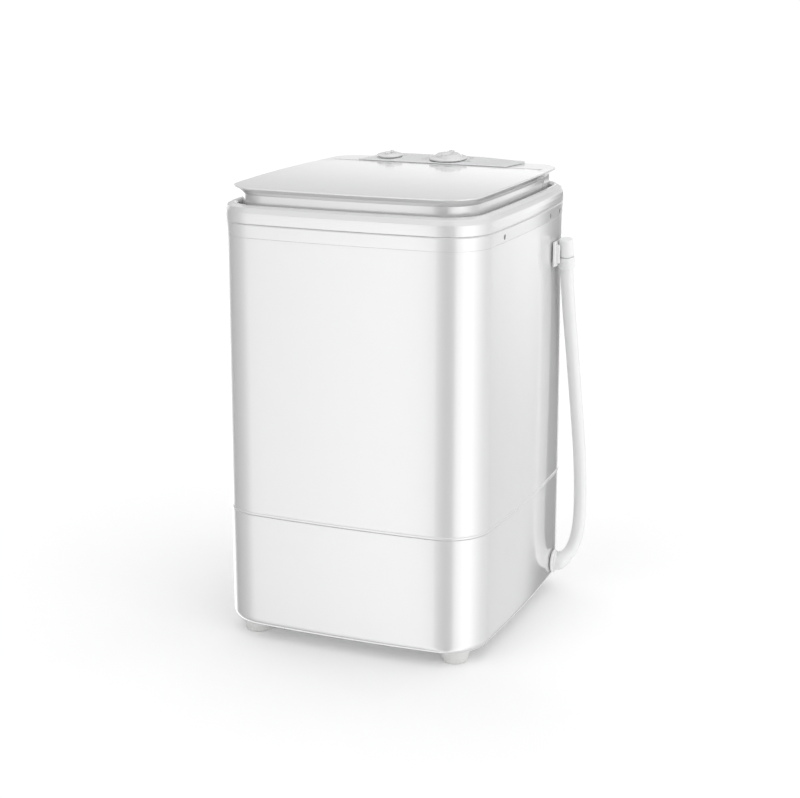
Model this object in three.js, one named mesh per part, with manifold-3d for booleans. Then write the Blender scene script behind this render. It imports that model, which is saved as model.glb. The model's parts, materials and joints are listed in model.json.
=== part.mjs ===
// Compact top load washing machine: a rounded-square plastic cabinet on a plinth, with one tub, a pulsator
// turned by a belt from a small motor, a hinged lid, a control console along the rear edge and a drain hose
// clipped up the rear right corner. Millimetres, Z up, the floor at z = 0, the front towards -Y.
import * as THREE from "three";
import { mergeVertices } from "three/addons/utils/BufferGeometryUtils.js";
import Module from "manifold-3d";

const wasm = await Module();
wasm.setup();

// Cabinet outline
const halfWidth = 180;
const halfDepth = 194;
const cornerRadius = 57;
const sideBow = 3.4; // how far the middle of a side stands proud of its ends
const gap = 0.3; // between pieces that touch
const wall = 2.4;
const sideSteps = 2; // half the facets on a side
const cornerSteps = 5; // facets on a corner

// Heights
const footTop = 18;
const seamZ = 169.4;
const bandZ = 526;
const bezelZ = 543.6;
const rimTopZ = 564;
const deckZ = 537;
const lidTopZ = 586;
const lidWallBottomZ = 551.6;
const consoleBottomZ = 546.4;

// How far each outline stands out of the cabinet outline
const plinthFillet = 11;
const bandGrow = -1;
const lidWallGrow = -20.4;
const brimGrow = -14.4;

// Lid and console
const consoleFrontY = 126.6;
const hingeY = 121;
const hingeZ = 581;
const hingeRadius = 5;
const pinHole = 2.35;
const earX = 150;
const earFrontY = 108.5;
const panel = { left: -118, right: 110, front: 128, back: 182, frontZ: 587.6, backZ: 591.6 };
const timer = { x: 6, y: 156, radius: 26 };
const selector = { x: -80, y: 156, radius: 18 };
const sideScrews = [-99, 80, 124]; // along Y, on both sides of the top frame
const screwZ = 533;

// Tub and drive
const tub = { y: -23.5, halfX: 146, halfY: 136.5, corner: 60, floorZ: 199, rimZ: 546.3 };
const dish = { radius: 108, z: 190 };
const shaftRadius = 6;
const pulleyZ = 62;
const pulleyHeight = 20;
const bigPulley = 57;
const smallPulley = 16;
const beltThickness = 5.7;
const motor = { x: -78, y: 98, radius: 50, shaft: 5 };
const sump = { x: 92, y: 66 };
const outlet = { y: 123, z: 44 };

// Feet and hose
const foot = { x: 138, y: 153, top: 20.5, bottom: 16.5 };
const hoseRadius = 8.8;
const hoseRoute = [
  [193, 131.5, 49.5],
  [198.5, 139.5, 56],
  [202.5, 147, 68],
  [205, 151.5, 84],
  [206, 154, 102],
  [206.2, 154.8, 122],
  [205.8, 154.9, 145],
  [205, 154.2, 172],
  [203.6, 151.6, 205],
  [201.8, 147.2, 240],
  [200, 142, 275],
  [198, 136.5, 312],
  [196, 130.5, 350],
  [194.2, 124.5, 385],
  [192.8, 119, 417],
  [192.2, 115, 440],
  [192, 111.5, 460],
];
const hoseTop = new THREE.Vector3(192, 104.5, 500);
const elbow = { radius: 10.6, reach: 12 }; // reach: from its bend to where the hose begins

// ---------------------------------------------------------------- solids

// A closed geometry as a manifold solid, whichever way round its faces are.
function solidOf(geometry) {
  const bare = geometry.index ? geometry.toNonIndexed() : geometry.clone();
  bare.deleteAttribute("normal");
  bare.deleteAttribute("uv");
  const merged = mergeVertices(bare, 1e-4);
  const p = merged.attributes.position.array;
  const t = [];
  let volume = 0;
  for (let i = 0; i < merged.index.count; i += 3) {
    const [a, b, c] = merged.index.array.slice(i, i + 3);
    if (a === b || b === c || c === a) continue;
    t.push(a, b, c);
    const [A, B, C] = [a, b, c].map((k) => new THREE.Vector3(p[3 * k], p[3 * k + 1], p[3 * k + 2]));
    volume += A.dot(B.cross(C));
  }
  if (volume < 0) t.reverse();
  const mesh = new wasm.Mesh({ numProp: 3, vertProperties: p, triVerts: new Uint32Array(t) });
  return new wasm.Manifold(mesh);
}

function geometryOf(solid) {
  const mesh = solid.getMesh();
  const geometry = new THREE.BufferGeometry();
  geometry.setAttribute("position", new THREE.BufferAttribute(mesh.vertProperties, 3));
  geometry.setIndex(new THREE.BufferAttribute(mesh.triVerts, 1));
  geometry.computeVertexNormals();
  return geometry;
}

const join = (first, ...rest) => rest.reduce((sum, s) => sum.add(s), first);
const cut = (first, ...rest) => rest.reduce((left, s) => left.subtract(s), first);

function box(x0, x1, y0, y1, z0, z1) {
  const g = new THREE.BoxGeometry(x1 - x0, y1 - y0, z1 - z0);
  return solidOf(g.translate((x0 + x1) / 2, (y0 + y1) / 2, (z0 + z1) / 2));
}

// A cylinder or cone along Z.
function rod(x, y, z0, z1, bottom, top = bottom, sides = 16) {
  const g = new THREE.CylinderGeometry(top, bottom, z1 - z0, sides).rotateX(Math.PI / 2);
  return solidOf(g.translate(x, y, (z0 + z1) / 2));
}

// A cylinder along X.
function rodX(x0, x1, y, z, radius, sides = 12) {
  const g = new THREE.CylinderGeometry(radius, radius, x1 - x0, sides).rotateZ(Math.PI / 2);
  return solidOf(g.translate((x0 + x1) / 2, y, z));
}

// A closed profile of [radius, z] pairs turned about a vertical axis.
function turned(x, y, profile, sides = 20) {
  const points = [...profile, profile[0]].map(([r, z]) => new THREE.Vector2(r, z));
  return solidOf(new THREE.LatheGeometry(points, sides).rotateX(Math.PI / 2).translate(x, y, 0));
}

const ring = (x, y, z0, z1, inner, outer, sides = 18) =>
  turned(x, y, [[inner, z0], [outer, z0], [outer, z1], [inner, z1]], sides);

// A rounded rectangle with gently bowed sides, pushed outwards by grow, as points counter-clockwise.
function outline(grow, { a = halfWidth, b = halfDepth, r = cornerRadius, bow = sideBow, cy = 0 } = {}) {
  const radius = Math.max(r + grow, 5);
  const core = [a + grow - radius, b + grow - radius];
  const points = [];
  for (let side = 0; side < 4; side++) {
    const across = core[side % 2];
    const along = core[(side + 1) % 2] - bow;
    const nextAlong = core[side % 2] - bow;
    const turn = (side * Math.PI) / 2;
    const spin = (x, y) => {
      const c = Math.cos(turn);
      const s = Math.sin(turn);
      points.push(new THREE.Vector2(x * c - y * s, x * s + y * c + cy));
    };
    for (let i = -sideSteps; i <= sideSteps; i++) {
      const t = i / sideSteps;
      const slope = Math.atan((2 * bow * t) / along);
      spin(across - bow * t * t + radius * Math.cos(slope), along * t + radius * Math.sin(slope));
    }
    const start = Math.atan((2 * bow) / along);
    const end = Math.PI / 2 - Math.atan((2 * bow) / nextAlong);
    for (let i = 1; i < cornerSteps; i++) {
      const angle = start + ((end - start) * i) / cornerSteps;
      spin(across - bow + radius * Math.cos(angle), along + radius * Math.sin(angle));
    }
  }
  return points;
}

// Skins a stack of [grow, z] outlines. A closed stack makes a ring, an open one is capped at both ends.
function sweep(profile, { closed = false, ...shape } = {}) {
  const rings = profile.map(([grow, z]) => outline(grow, shape).map((p) => new THREE.Vector3(p.x, p.y, z)));
  const n = rings[0].length;
  const positions = rings.flat().flatMap((p) => p.toArray());
  const index = [];
  const last = closed ? rings.length : rings.length - 1;
  for (let k = 0; k < last; k++) {
    const lower = k * n;
    const upper = ((k + 1) % rings.length) * n;
    for (let i = 0; i < n; i++) {
      const j = (i + 1) % n;
      index.push(lower + i, lower + j, upper + j, lower + i, upper + j, upper + i);
    }
  }
  if (!closed) {
    for (const [k, flip] of [[0, true], [rings.length - 1, false]]) {
      const centre = positions.length / 3;
      positions.push(0, shape.cy ?? 0, profile[k][1]);
      for (let i = 0; i < n; i++) {
        const [a, b] = [k * n + i, k * n + ((i + 1) % n)];
        index.push(centre, ...(flip ? [b, a] : [a, b]));
      }
    }
  }
  const g = new THREE.BufferGeometry();
  g.setAttribute("position", new THREE.Float32BufferAttribute(positions, 3));
  g.setIndex(index);
  return solidOf(g);
}

// A tube of one section along a smooth curve through the points given.
function tubeAlong(points, radius, { sides = 10, steps = 24 } = {}) {
  const path = new THREE.CatmullRomCurve3(points.map((p) => new THREE.Vector3(...p)));
  const section = new THREE.Shape(
    Array.from({ length: sides }, (_, i) => {
      const angle = (2 * Math.PI * i) / sides;
      return new THREE.Vector2(radius * Math.cos(angle), radius * Math.sin(angle));
    }),
  );
  return solidOf(new THREE.ExtrudeGeometry(section, { steps, extrudePath: path, bevelEnabled: false }));
}

// ---------------------------------------------------------------- scene helpers

const finish = (color, roughness, metalness = 0) => () =>
  new THREE.MeshStandardMaterial({ color, roughness, metalness });
const glossWhite = finish(0xf2f2f1, 0.18);
const satinWhite = finish(0xe9e9e8, 0.4);
const greyPlastic = finish(0xb9bbbc, 0.45);
const panelWhite = finish(0xe4e5e6, 0.35);
const hosePlastic = finish(0xeff0ee, 0.5);
const steel = finish(0xb8babc, 0.35, 1);
const darkMetal = finish(0x55585c, 0.5, 0.8);
const blackRubber = finish(0x1f1f20, 0.8);
const whiteRubber = finish(0xdcdcda, 0.7);

const machine = new THREE.Group();

function group(parent = machine) {
  const g = new THREE.Group();
  parent.add(g);
  return g;
}

function add(parent, name, solid, material, [x, y, z] = [0, 0, 0]) {
  const mesh = new THREE.Mesh(geometryOf(solid), material());
  mesh.name = name;
  mesh.position.set(x, y, z);
  parent.add(mesh);
}

// ---------------------------------------------------------------- cabinet

function basePlinth() {
  const flangeGrow = -74;
  const flangeTop = footTop + 3;
  const arc = [68, 45, 22, 0].map((degrees) => {
    const t = (degrees * Math.PI) / 180;
    return [-plinthFillet * (1 - Math.cos(t)), footTop + plinthFillet * (1 - Math.sin(t))];
  });
  const shell = sweep(
    [
      [flangeGrow, footTop],
      [-plinthFillet, footTop],
      ...arc,
      [0, seamZ - 0.6],
      [-0.8, seamZ],
      [-14, seamZ],
      [-14, seamZ - wall],
      [-wall, seamZ - wall],
      [-wall, footTop + plinthFillet],
      [-plinthFillet, flangeTop],
      [flangeGrow, flangeTop],
    ],
    { closed: true },
  );
  const studHoles = footPlaces().map(([x, y]) => rod(x, y, 10, 30, 4.8, 4.8, 12));
  const serviceHole = box(-96, 96, halfDepth - 20, halfDepth + 10, 46, 146);
  const glandHole = rodY(-140, 168, 200, 90, 9);
  const drainHole = rodX(165, 200, outlet.y, outlet.z, 12);
  return cut(shell, ...studHoles, serviceHole, glandHole, drainHole);
}

// A cylinder along Y.
function rodY(x, y0, y1, z, radius, sides = 20) {
  const g = new THREE.CylinderGeometry(radius, radius, y1 - y0, sides);
  return solidOf(g.translate(x, (y0 + y1) / 2, z));
}

function footPlaces() {
  return [-1, 1].flatMap((sx) => [-1, 1].map((sy) => [sx * foot.x, sy * foot.y]));
}

function basePlate() {
  const z = footTop + 3 + gap;
  const plate = sweep([[-68, z], [-68, z + 1.5]]);
  const slots = [-60, -36, -12, 12, 36, 60].map((x) => box(x - 4, x + 4, -110, -60, z - 2, z + 4));
  return cut(plate, ...slots);
}

function rearCover() {
  const skin = sweep(
    [[gap, 40], [gap + 2, 40], [gap + 2, 152], [gap, 152]],
    { closed: true },
  );
  const louvreZ = [62, 74, 86, 98, 110, 122];
  const louvres = louvreZ.map((z) => box(-60, 60, halfDepth - 20, halfDepth + 10, z, z + 4));
  return cut(skin.intersect(box(-104, 104, 100, 220, 30, 160)), ...louvres);
}

function cabinetShell() {
  const low = seamZ + gap;
  const high = bandZ - gap;
  return sweep(
    [
      [-13, low],
      [0.2, low],
      [0.9, low + 0.8],
      [0.9, low + 2.6],
      [0, low + 3.6],
      [-1.4, high],
      [-12, high],
      [-12, high - wall],
      [-1.4 - wall, high - wall],
      [-wall, low + wall],
      [-13, low + wall],
    ],
    { closed: true },
  );
}

// Outline of the washing mouth, wide enough for the tub wall below the rim.
const mouth = (grow, z0, z1) =>
  sweep([[grow, z0], [grow, z1]], { a: tub.halfX, b: tub.halfY, r: tub.corner, bow: 0, cy: tub.y });

function topFrame() {
  const skirt = sweep(
    [
      [bandGrow - wall, bandZ],
      [bandGrow, bandZ],
      [bandGrow + 0.6, bezelZ - 2],
      [bandGrow - 0.4, bezelZ - gap],
      [bandGrow - wall, bezelZ - gap],
    ],
    { closed: true },
  );
  const deck = sweep([[bandGrow - 1, deckZ], [bandGrow - 1, deckZ + 3]]);
  const screwPits = sideScrews.flatMap((y) => [
    rodX(165, 190, y, screwZ, 3.5, 12),
    rodX(-190, -165, y, screwZ, 3.5, 12),
  ]);
  const consoleWires = box(-100, 60, 140, 176, 530, 545);
  return cut(join(skirt, cut(deck, mouth(4, 530, 545))), ...screwPits, consoleWires);
}

// Where a side screw starts, so that its head stays below the bowed and rounded wall.
function sideScrewInner(y) {
  const past = Math.max(y - (halfDepth - cornerRadius), 0);
  const bowed = sideBow * Math.min(y / (halfDepth - cornerRadius), 1) ** 2;
  return halfWidth - 12 - bowed - past ** 2 / (2 * cornerRadius);
}

function bezelRing() {
  const floor = bezelZ + wall;
  return sweep(
    [
      [-28, bezelZ],
      [-1.6, bezelZ],
      [0.2, bezelZ + 1.6],
      [0, bezelZ + 8],
      [-1.6, bezelZ + 14],
      [-4.2, rimTopZ - 2],
      [-6.6, rimTopZ],
      [-8.8, rimTopZ],
      [-10.4, rimTopZ - 1.6],
      [-12.4, floor],
      [-28, floor],
    ],
    { closed: true },
  );
}

// ---------------------------------------------------------------- lid and console

// The flared slab that the lid and the console are cut from, and the hollow inside it.
const slabShape = { b: halfDepth + 2.7, r: 54, cy: 1.3 };
const slab = () =>
  sweep(
    [
      [lidWallGrow - 0.6, consoleBottomZ],
      [lidWallGrow, lidTopZ - 18],
      [lidWallGrow, lidTopZ - 11],
      [lidWallGrow + 0.9, lidTopZ - 8],
      [lidWallGrow + 3.2, lidTopZ - 5],
      [brimGrow - 0.6, lidTopZ - 2.2],
      [brimGrow, lidTopZ - 1.4],
      [brimGrow - 0.3, lidTopZ - 0.5],
      [brimGrow - 1.6, lidTopZ],
    ],
    slabShape,
  );
const slabHollow = () =>
  sweep([[lidWallGrow - 2.6, consoleBottomZ - 5], [lidWallGrow - 2.4, lidTopZ - 2.4]], slabShape);

// The plan regions of the lid and of the console, shrunk by inset for their hollows.
const lidRegion = (inset = 0) =>
  join(
    box(-200, 200, -220, earFrontY - 1 - inset, lidWallBottomZ, 640),
    box(-earX + 0.3 + inset, earX - 0.3 - inset, 0, consoleFrontY - 0.6 - inset, lidWallBottomZ, 640),
  );
const consoleRegion = (inset = 0) =>
  join(
    box(-200, 200, consoleFrontY + inset, 220, 500, 640),
    ...[-1, 1].map((s) => {
      const near = earX + 0.3 + inset;
      const [x0, x1] = s > 0 ? [near, 200] : [-200, -near];
      return box(x0, x1, earFrontY + inset, 200, lidWallBottomZ, 640);
    }),
  );

function lidPanel() {
  const shell = cut(slab().intersect(lidRegion()), slabHollow().intersect(lidRegion(2.2)));
  const barrels = [-1, 1].map((s) => {
    const [x0, x1] = s > 0 ? [118, earX - 0.3] : [-earX + 0.3, -118];
    return rodX(x0, x1, hingeY, hingeZ, hingeRadius - 0.1);
  });
  const squareEdge = box(-160, 160, hingeY, 140, hingeZ, 600);
  const roundEdge = rodX(-160, 160, hingeY, hingeZ, hingeRadius, 24);
  const rounded = cut(shell, cut(squareEdge, roundEdge));
  const pinHoles = [[136, 160], [-160, -136]].map(([x0, x1]) => rodX(x0, x1, hingeY, hingeZ, pinHole));
  return cut(join(rounded, ...barrels), ...pinHoles);
}

function lidInner() {
  const pan = sweep(
    [
      [lidWallGrow - 3.2, lidWallBottomZ + 1.4],
      [lidWallGrow - 3.2, lidWallBottomZ + 3.4],
    ],
    slabShape,
  );
  return pan.intersect(lidRegion(2.6));
}

function consoleHousing() {
  const shell = cut(slab().intersect(consoleRegion()), slabHollow().intersect(consoleRegion(2.4)));
  const pinHoles = [-1, 1].map((s) => {
    const [x0, x1] = s > 0 ? [146, 157] : [-157, -146];
    return rodX(x0, x1, hingeY, hingeZ, pinHole);
  });
  const ears = [-1, 1].map((s) => {
    const [x0, x1] = s > 0 ? [earX + 0.4, 158] : [-158, -earX - 0.4];
    return box(x0, x1, earFrontY + 1, consoleFrontY + 6, 570, lidTopZ - 1);
  });
  const shaftHoles = [timer, selector].map((k) => rod(k.x, k.y, 570, 600, 8));
  return cut(join(shell, ...ears), ...pinHoles, ...shaftHoles);
}

const panelZ = (y) =>
  panel.frontZ + ((y - panel.front) * (panel.backZ - panel.frontZ)) / (panel.back - panel.front);

// The fascia: a low wedge, highest behind the timer and running out to thin ends.
function controlPanel() {
  const { left, right, front, back, frontZ, backZ } = panel;
  const low = lidTopZ + gap;
  const top = [
    [left, front, frontZ],
    [right - 11, front, frontZ],
    [right, back - 8, frontZ + 1.4],
    [right, back, frontZ + 1.6],
    [right - 68, back, backZ],
    [left + 30, back, backZ],
    [left + 14, back, frontZ + 1.4],
    [left + 5, front + 26, panelZ(front + 26) - 0.8],
  ];
  const corners = top.flatMap(([x, y, z]) => [[x, y, z], [x, y, low]]);
  const holes = [timer, selector].map((k) => rod(k.x, k.y, 575, 610, 5.2));
  return cut(wasm.Manifold.hull(corners), ...holes);
}

// A control knob in its own frame: a skirt, a round body and a finger grip, on a shaft that goes down.
function knob(radius, height, gripWidth) {
  const body = turned(0, 0, [
    [0, 0],
    [radius, 0],
    [radius, 1.6],
    [radius - 1.4, 2.6],
    [radius * 0.72, 3.4],
    [radius * 0.66, height - 1.6],
    [radius * 0.6, height - 0.4],
    [0, height],
  ]);
  const grip = box(-gripWidth / 2, gripWidth / 2, -radius * 0.62, radius * 0.62, 2, height + 2.2);
  return cut(join(body, grip), rod(0, 0, -1, 4.6, 3.3, 3.3, 12));
}

const knobShaft = (length) => rod(0, 0, -length, 4.2, 3, 3, 12);

// ---------------------------------------------------------------- tub and drive

function washTub() {
  const { floorZ, rimZ } = tub;
  const shape = { a: tub.halfX, b: tub.halfY, r: tub.corner, bow: 0, cy: tub.y };
  const shell = sweep(
    [
      [-33, floorZ - 3],
      [-18, floorZ],
      [-7.6, floorZ + 9],
      [-3.5, floorZ + 24],
      [2.5, rimZ],
      [11, rimZ],
      [11, rimZ + 2.5],
      [2, rimZ + 2.5],
      [2, rimZ + 4.6],
      [-0.4, rimZ + 4.6],
      [-6, floorZ + 24],
      [-10, floorZ + 11],
      [-19.5, floorZ + 2.6],
      [-33, floorZ],
    ],
    shape,
  );
  const dishWall = rod(0, tub.y, dish.z - 3, floorZ - 1, dish.radius + 3, dish.radius + 3, 32);
  const dishHollow = rod(0, tub.y, dish.z, floorZ + 4, dish.radius, dish.radius, 32);
  const shaftHole = rod(0, tub.y, 180, 200, 14);
  const drainHole = rod(sump.x, sump.y, 180, 215, 11);
  return cut(join(shell, dishWall), dishHollow, shaftHole, drainHole);
}

function pulsator() {
  const disc = turned(0, tub.y, [
    [0, 206],
    [7, 206],
    [7, 193],
    [103, 193],
    [105, 196],
    [104, 200],
    [86, 203],
    [44, 210],
    [30, 218],
    [22, 224],
    [0, 226],
  ]);
  const blades = [0, 1, 2, 3].map((i) => {
    const blade = new THREE.BoxGeometry(74, 13, 17).translate(59, 0, 209.5);
    return solidOf(blade.rotateZ((i * Math.PI) / 2 + Math.PI / 4).translate(0, tub.y, 0));
  });
  return cut(join(disc, ...blades), rod(0, tub.y, 190, 214, shaftRadius + gap), rod(0, tub.y, 221, 230, 7));
}

function bearingHousing() {
  return turned(0, tub.y, [
    [13.3, 110],
    [19, 110],
    [19, 176],
    [24, 183.6],
    [46, 183.6],
    [46, 186.6],
    [13.3, 186.6],
    [13.3, 166],
    [9, 166],
    [9, 122],
    [13.3, 122],
  ]);
}

// A grooved pulley whose belt seat has the radius given.
function pulley(x, y, seat, bore, sides) {
  const top = pulleyZ + pulleyHeight;
  const profile = [
    [bore, pulleyZ],
    [seat + 7, pulleyZ],
    [seat + 7, pulleyZ + 4],
    [seat, pulleyZ + 5],
    [seat, top - 5],
    [seat + 7, top - 4],
    [seat + 7, top],
    [bore, top],
  ];
  return turned(x, y, profile, sides);
}

// The big pulley, lightened by a groove in each face.
function drivePulley() {
  const faces = [pulleyZ - 1, pulleyZ + pulleyHeight - 7].map((z) => ring(0, tub.y, z, z + 8, 16, 50, 24));
  return cut(pulley(0, tub.y, bigPulley, shaftRadius + gap, 24), ...faces);
}

// The open loop round both pulleys, at an extra radius outside their belt seats.
function beltLoop(extra) {
  const dx = motor.x;
  const dy = motor.y - tub.y;
  const reach = Math.hypot(dx, dy);
  const heading = Math.atan2(dy, dx);
  const wrap = Math.acos((bigPulley - smallPulley) / reach);
  const points = [];
  const arc = (cx, cy, radius, from, to, steps) => {
    for (let i = 0; i <= steps; i++) {
      const angle = from + ((to - from) * i) / steps;
      points.push(new THREE.Vector2(cx + radius * Math.cos(angle), cy + radius * Math.sin(angle)));
    }
  };
  arc(0, tub.y, bigPulley + extra, heading + wrap, heading - wrap + 2 * Math.PI, 24);
  arc(motor.x, motor.y, smallPulley + extra, heading - wrap, heading + wrap, 10);
  return points;
}

function driveBelt() {
  const loop = new THREE.Shape(beltLoop(gap + beltThickness));
  loop.holes.push(new THREE.Path(beltLoop(gap)));
  const height = pulleyHeight - 10.8;
  const g = new THREE.ExtrudeGeometry(loop, { depth: height, bevelEnabled: false });
  return solidOf(g.translate(0, 0, pulleyZ + 5.4));
}

function motorShield(z0, z1, inside, shaftHole) {
  const closedZ = inside > z0 ? z0 : z1;
  const boss = closedZ === z0 ? z0 + 3 : z1 - 3;
  return turned(motor.x, motor.y, [
    [shaftHole, closedZ],
    [motor.radius - 6, closedZ],
    [motor.radius, closedZ === z0 ? z0 + 5 : z1 - 5],
    [motor.radius, inside],
    [motor.radius - 3, inside],
    [motor.radius - 3, boss + (closedZ === z0 ? 3 : -3)],
    [motor.radius - 8, boss],
    [shaftHole, boss],
  ]);
}

function motorFan() {
  const { x, y, shaft } = motor;
  const disc = ring(x, y, 84, 85.6, shaft + gap, 38);
  const hub = ring(x, y, 84, 90.5, shaft + gap, 11);
  const blades = Array.from({ length: 6 }, (_, i) => {
    const blade = new THREE.BoxGeometry(24, 1.6, 5).translate(24, 0, 88);
    return solidOf(blade.rotateZ((i * Math.PI) / 3).translate(x, y, 0));
  });
  return join(disc, hub, ...blades);
}

function motorBracket() {
  const { x, y } = motor;
  const plate = box(x - 56, x + 56, y - 44, y + 44, 164.4, 167);
  const sides = [-1, 1].map((s) => box(x + s * 54.8 - 1.2, x + s * 54.8 + 1.2, y - 44, y + 44, 165, 186.4));
  return cut(join(plate, ...sides), rod(x, y, 160, 190, 22));
}

// ---------------------------------------------------------------- drain

function drainSump() {
  const cup = rod(sump.x, sump.y, 174, 195.6, 16);
  const hollow = rod(sump.x, sump.y, 178, 200, 13);
  return cut(cup, hollow, rod(sump.x, sump.y, 170, 180, 6));
}

const drainPipe = () =>
  tubeAlong(
    [
      [sump.x, sump.y, 173.6],
      [sump.x, sump.y, 140],
      [sump.x + 6, sump.y + 14, 90],
      [126, 112, 55],
      [148, 121.5, 44.5],
      [158, outlet.y, outlet.z],
    ],
    9,
    { steps: 16 },
  );

// The elbow that takes the drain through the plinth wall and turns up to meet the hose outside.
const hoseStart = new THREE.Vector3(...hoseRoute[0]);
const hoseSetOff = new THREE.Vector3(...hoseRoute[1]).sub(hoseStart).normalize();

function drainElbow() {
  const flange = rodX(halfWidth - 1, halfWidth + 2, outlet.y, outlet.z, 16, 24);
  const turn = hoseStart.clone().addScaledVector(hoseSetOff, -elbow.reach);
  const spigot = rodX(164, turn.x, outlet.y, outlet.z, elbow.radius, 16);
  const ball = new THREE.SphereGeometry(elbow.radius + 0.3, 16, 10).translate(turn.x, turn.y, turn.z);
  const length = elbow.reach - 0.6;
  const neck = new THREE.CylinderGeometry(elbow.radius, elbow.radius, length, 16).translate(0, length / 2, 0);
  neck.applyQuaternion(new THREE.Quaternion().setFromUnitVectors(new THREE.Vector3(0, 1, 0), hoseSetOff));
  return join(flange, spigot, solidOf(ball), solidOf(neck.translate(turn.x, turn.y, turn.z)));
}

const hoseTube = () => tubeAlong(hoseRoute, hoseRadius, { sides: 10, steps: 22 });

// The hose's direction at its top end, and a turned piece set on that line.
const hoseEnd = new THREE.Vector3(...hoseRoute.at(-1));
const hoseRise = hoseTop.clone().sub(hoseEnd).normalize();

function onHoseEnd(profile) {
  const points = [...profile, profile[0]].map(([r, z]) => new THREE.Vector2(r, z));
  const g = new THREE.LatheGeometry(points, 20);
  g.applyQuaternion(new THREE.Quaternion().setFromUnitVectors(new THREE.Vector3(0, 1, 0), hoseRise));
  return solidOf(g.translate(hoseEnd.x, hoseEnd.y, hoseEnd.z));
}

const hoseCollar = () => onHoseEnd([[0, 0.6], [10.6, 0.6], [11, 2], [11, 15], [10.6, 16.4], [0, 16.4]]);
const hoseCap = () => onHoseEnd([[0, 16.8], [10.2, 16.8], [10.4, 18], [9.8, 38], [8.4, 40], [0, 40.6]]);

function hoseClip() {
  const z0 = 464;
  const z1 = 497;
  const clear = new THREE.CylinderGeometry(11.6, 11.6, 80, 24);
  clear.applyQuaternion(new THREE.Quaternion().setFromUnitVectors(new THREE.Vector3(0, 1, 0), hoseRise));
  clear.translate(hoseEnd.x, hoseEnd.y, hoseEnd.z);
  const plate = box(179.2, 182.4, 88, 124, z0, z1);
  const arms = join(box(180, 197, 92.4, 97, z0 + 8, z1 - 5), box(180, 197, 117.6, 122.2, z0, z1 - 14));
  return cut(join(plate, arms), solidOf(clear));
}

// ---------------------------------------------------------------- assembly

const cabinet = group();
add(cabinet, "base_plinth", basePlinth(), glossWhite);
add(cabinet, "base_plate", basePlate(), steel);
add(cabinet, "rear_cover", rearCover(), satinWhite);
add(cabinet, "cabinet_shell", cabinetShell(), glossWhite);
add(cabinet, "top_frame", topFrame(), glossWhite);
add(cabinet, "bezel_ring", bezelRing(), glossWhite);

for (const side of [-1, 1]) {
  sideScrews.forEach((y, i) => {
    const inner = sideScrewInner(y);
    const [x0, x1] = side > 0 ? [inner, inner + 9] : [-inner - 9, -inner];
    const screw = rodX(x0, x1, y, screwZ, 3, 12);
    add(cabinet, `frame_screw_${side > 0 ? "right" : "left"}_${i + 1}`, screw, darkMetal);
  });
}

const footSolid = join(
  rod(0, 0, 0, footTop - gap, foot.bottom, foot.top, 20),
  rod(0, 0, footTop - 1, footTop + 12, 4.2, 4.2, 12),
);
const footNames = ["foot_front_left", "foot_rear_left", "foot_front_right", "foot_rear_right"];
footPlaces().forEach(([x, y], i) => add(cabinet, footNames[i], footSolid, whiteRubber, [x, y, 0]));
add(cabinet, "power_cord_gland", join(
  rodY(-140, 178, 196.4, 90, 8.4),
  rodY(-140, 191.3, 195.6, 90, 13),
), greyPlastic);

const lid = group();
add(lid, "lid_panel", lidPanel(), glossWhite);
add(lid, "lid_inner", lidInner(), satinWhite);

const controls = group();
add(controls, "console_housing", consoleHousing(), glossWhite);
add(controls, "control_panel", controlPanel(), panelWhite);
for (const s of [-1, 1]) {
  const [x0, x1] = s > 0 ? [138, 156.6] : [-156.6, -138];
  add(controls, s > 0 ? "hinge_pin_right" : "hinge_pin_left", rodX(x0, x1, hingeY, hingeZ, 2), steel);
}
add(controls, "wash_timer", join(
  rod(timer.x, timer.y, 553, 574, 14),
  box(timer.x - 22, timer.x + 22, timer.y - 7, timer.y + 7, 571, 574),
), greyPlastic);
const switchBody = box(selector.x - 15, selector.x + 15, selector.y - 13, selector.y + 13, 556, 576);
add(controls, "selector_switch", switchBody, greyPlastic);

// Knobs stand square to the sloping panel.
const panelTilt = Math.atan2(panel.backZ - panel.frontZ, panel.back - panel.front);
const knobs = [
  ["timer", timer, 6.6, 8, 12],
  ["selector", selector, 3.8, 5, 9],
];
for (const [name, place, height, gripWidth, depth] of knobs) {
  const stand = group(controls);
  stand.position.set(place.x, place.y, panelZ(place.y) + 0.6);
  stand.rotation.x = panelTilt;
  add(stand, `${name}_knob`, knob(place.radius, height, gripWidth), glossWhite);
  add(stand, `${name}_shaft`, knobShaft(depth), greyPlastic);
}

const drive = group();
add(drive, "wash_tub", washTub(), satinWhite);
add(drive, "pulsator", pulsator(), glossWhite);
add(drive, "pulsator_screw", rod(0, tub.y, 221.4, 224.4, 6.2), steel);
add(drive, "bearing_housing", bearingHousing(), greyPlastic);
const bearingSolid = ring(0, 0, 0, 9.6, shaftRadius + gap, 13);
add(drive, "upper_bearing", bearingSolid, steel, [0, tub.y, 166.4]);
add(drive, "lower_bearing", bearingSolid, steel, [0, tub.y, 111.6]);
add(drive, "shaft_seal", ring(0, tub.y, 177.2, 186, shaftRadius + gap, 13), blackRubber);
add(drive, "drive_shaft", rod(0, tub.y, 52, 213.6, shaftRadius), steel);
add(drive, "drive_pulley", drivePulley(), darkMetal);
add(drive, "pulley_nut", cut(
  rod(0, tub.y, 54, 61.4, 11, 11, 6),
  rod(0, tub.y, 50, 65, shaftRadius + gap),
), steel);
add(drive, "drive_belt", driveBelt(), blackRubber);

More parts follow.
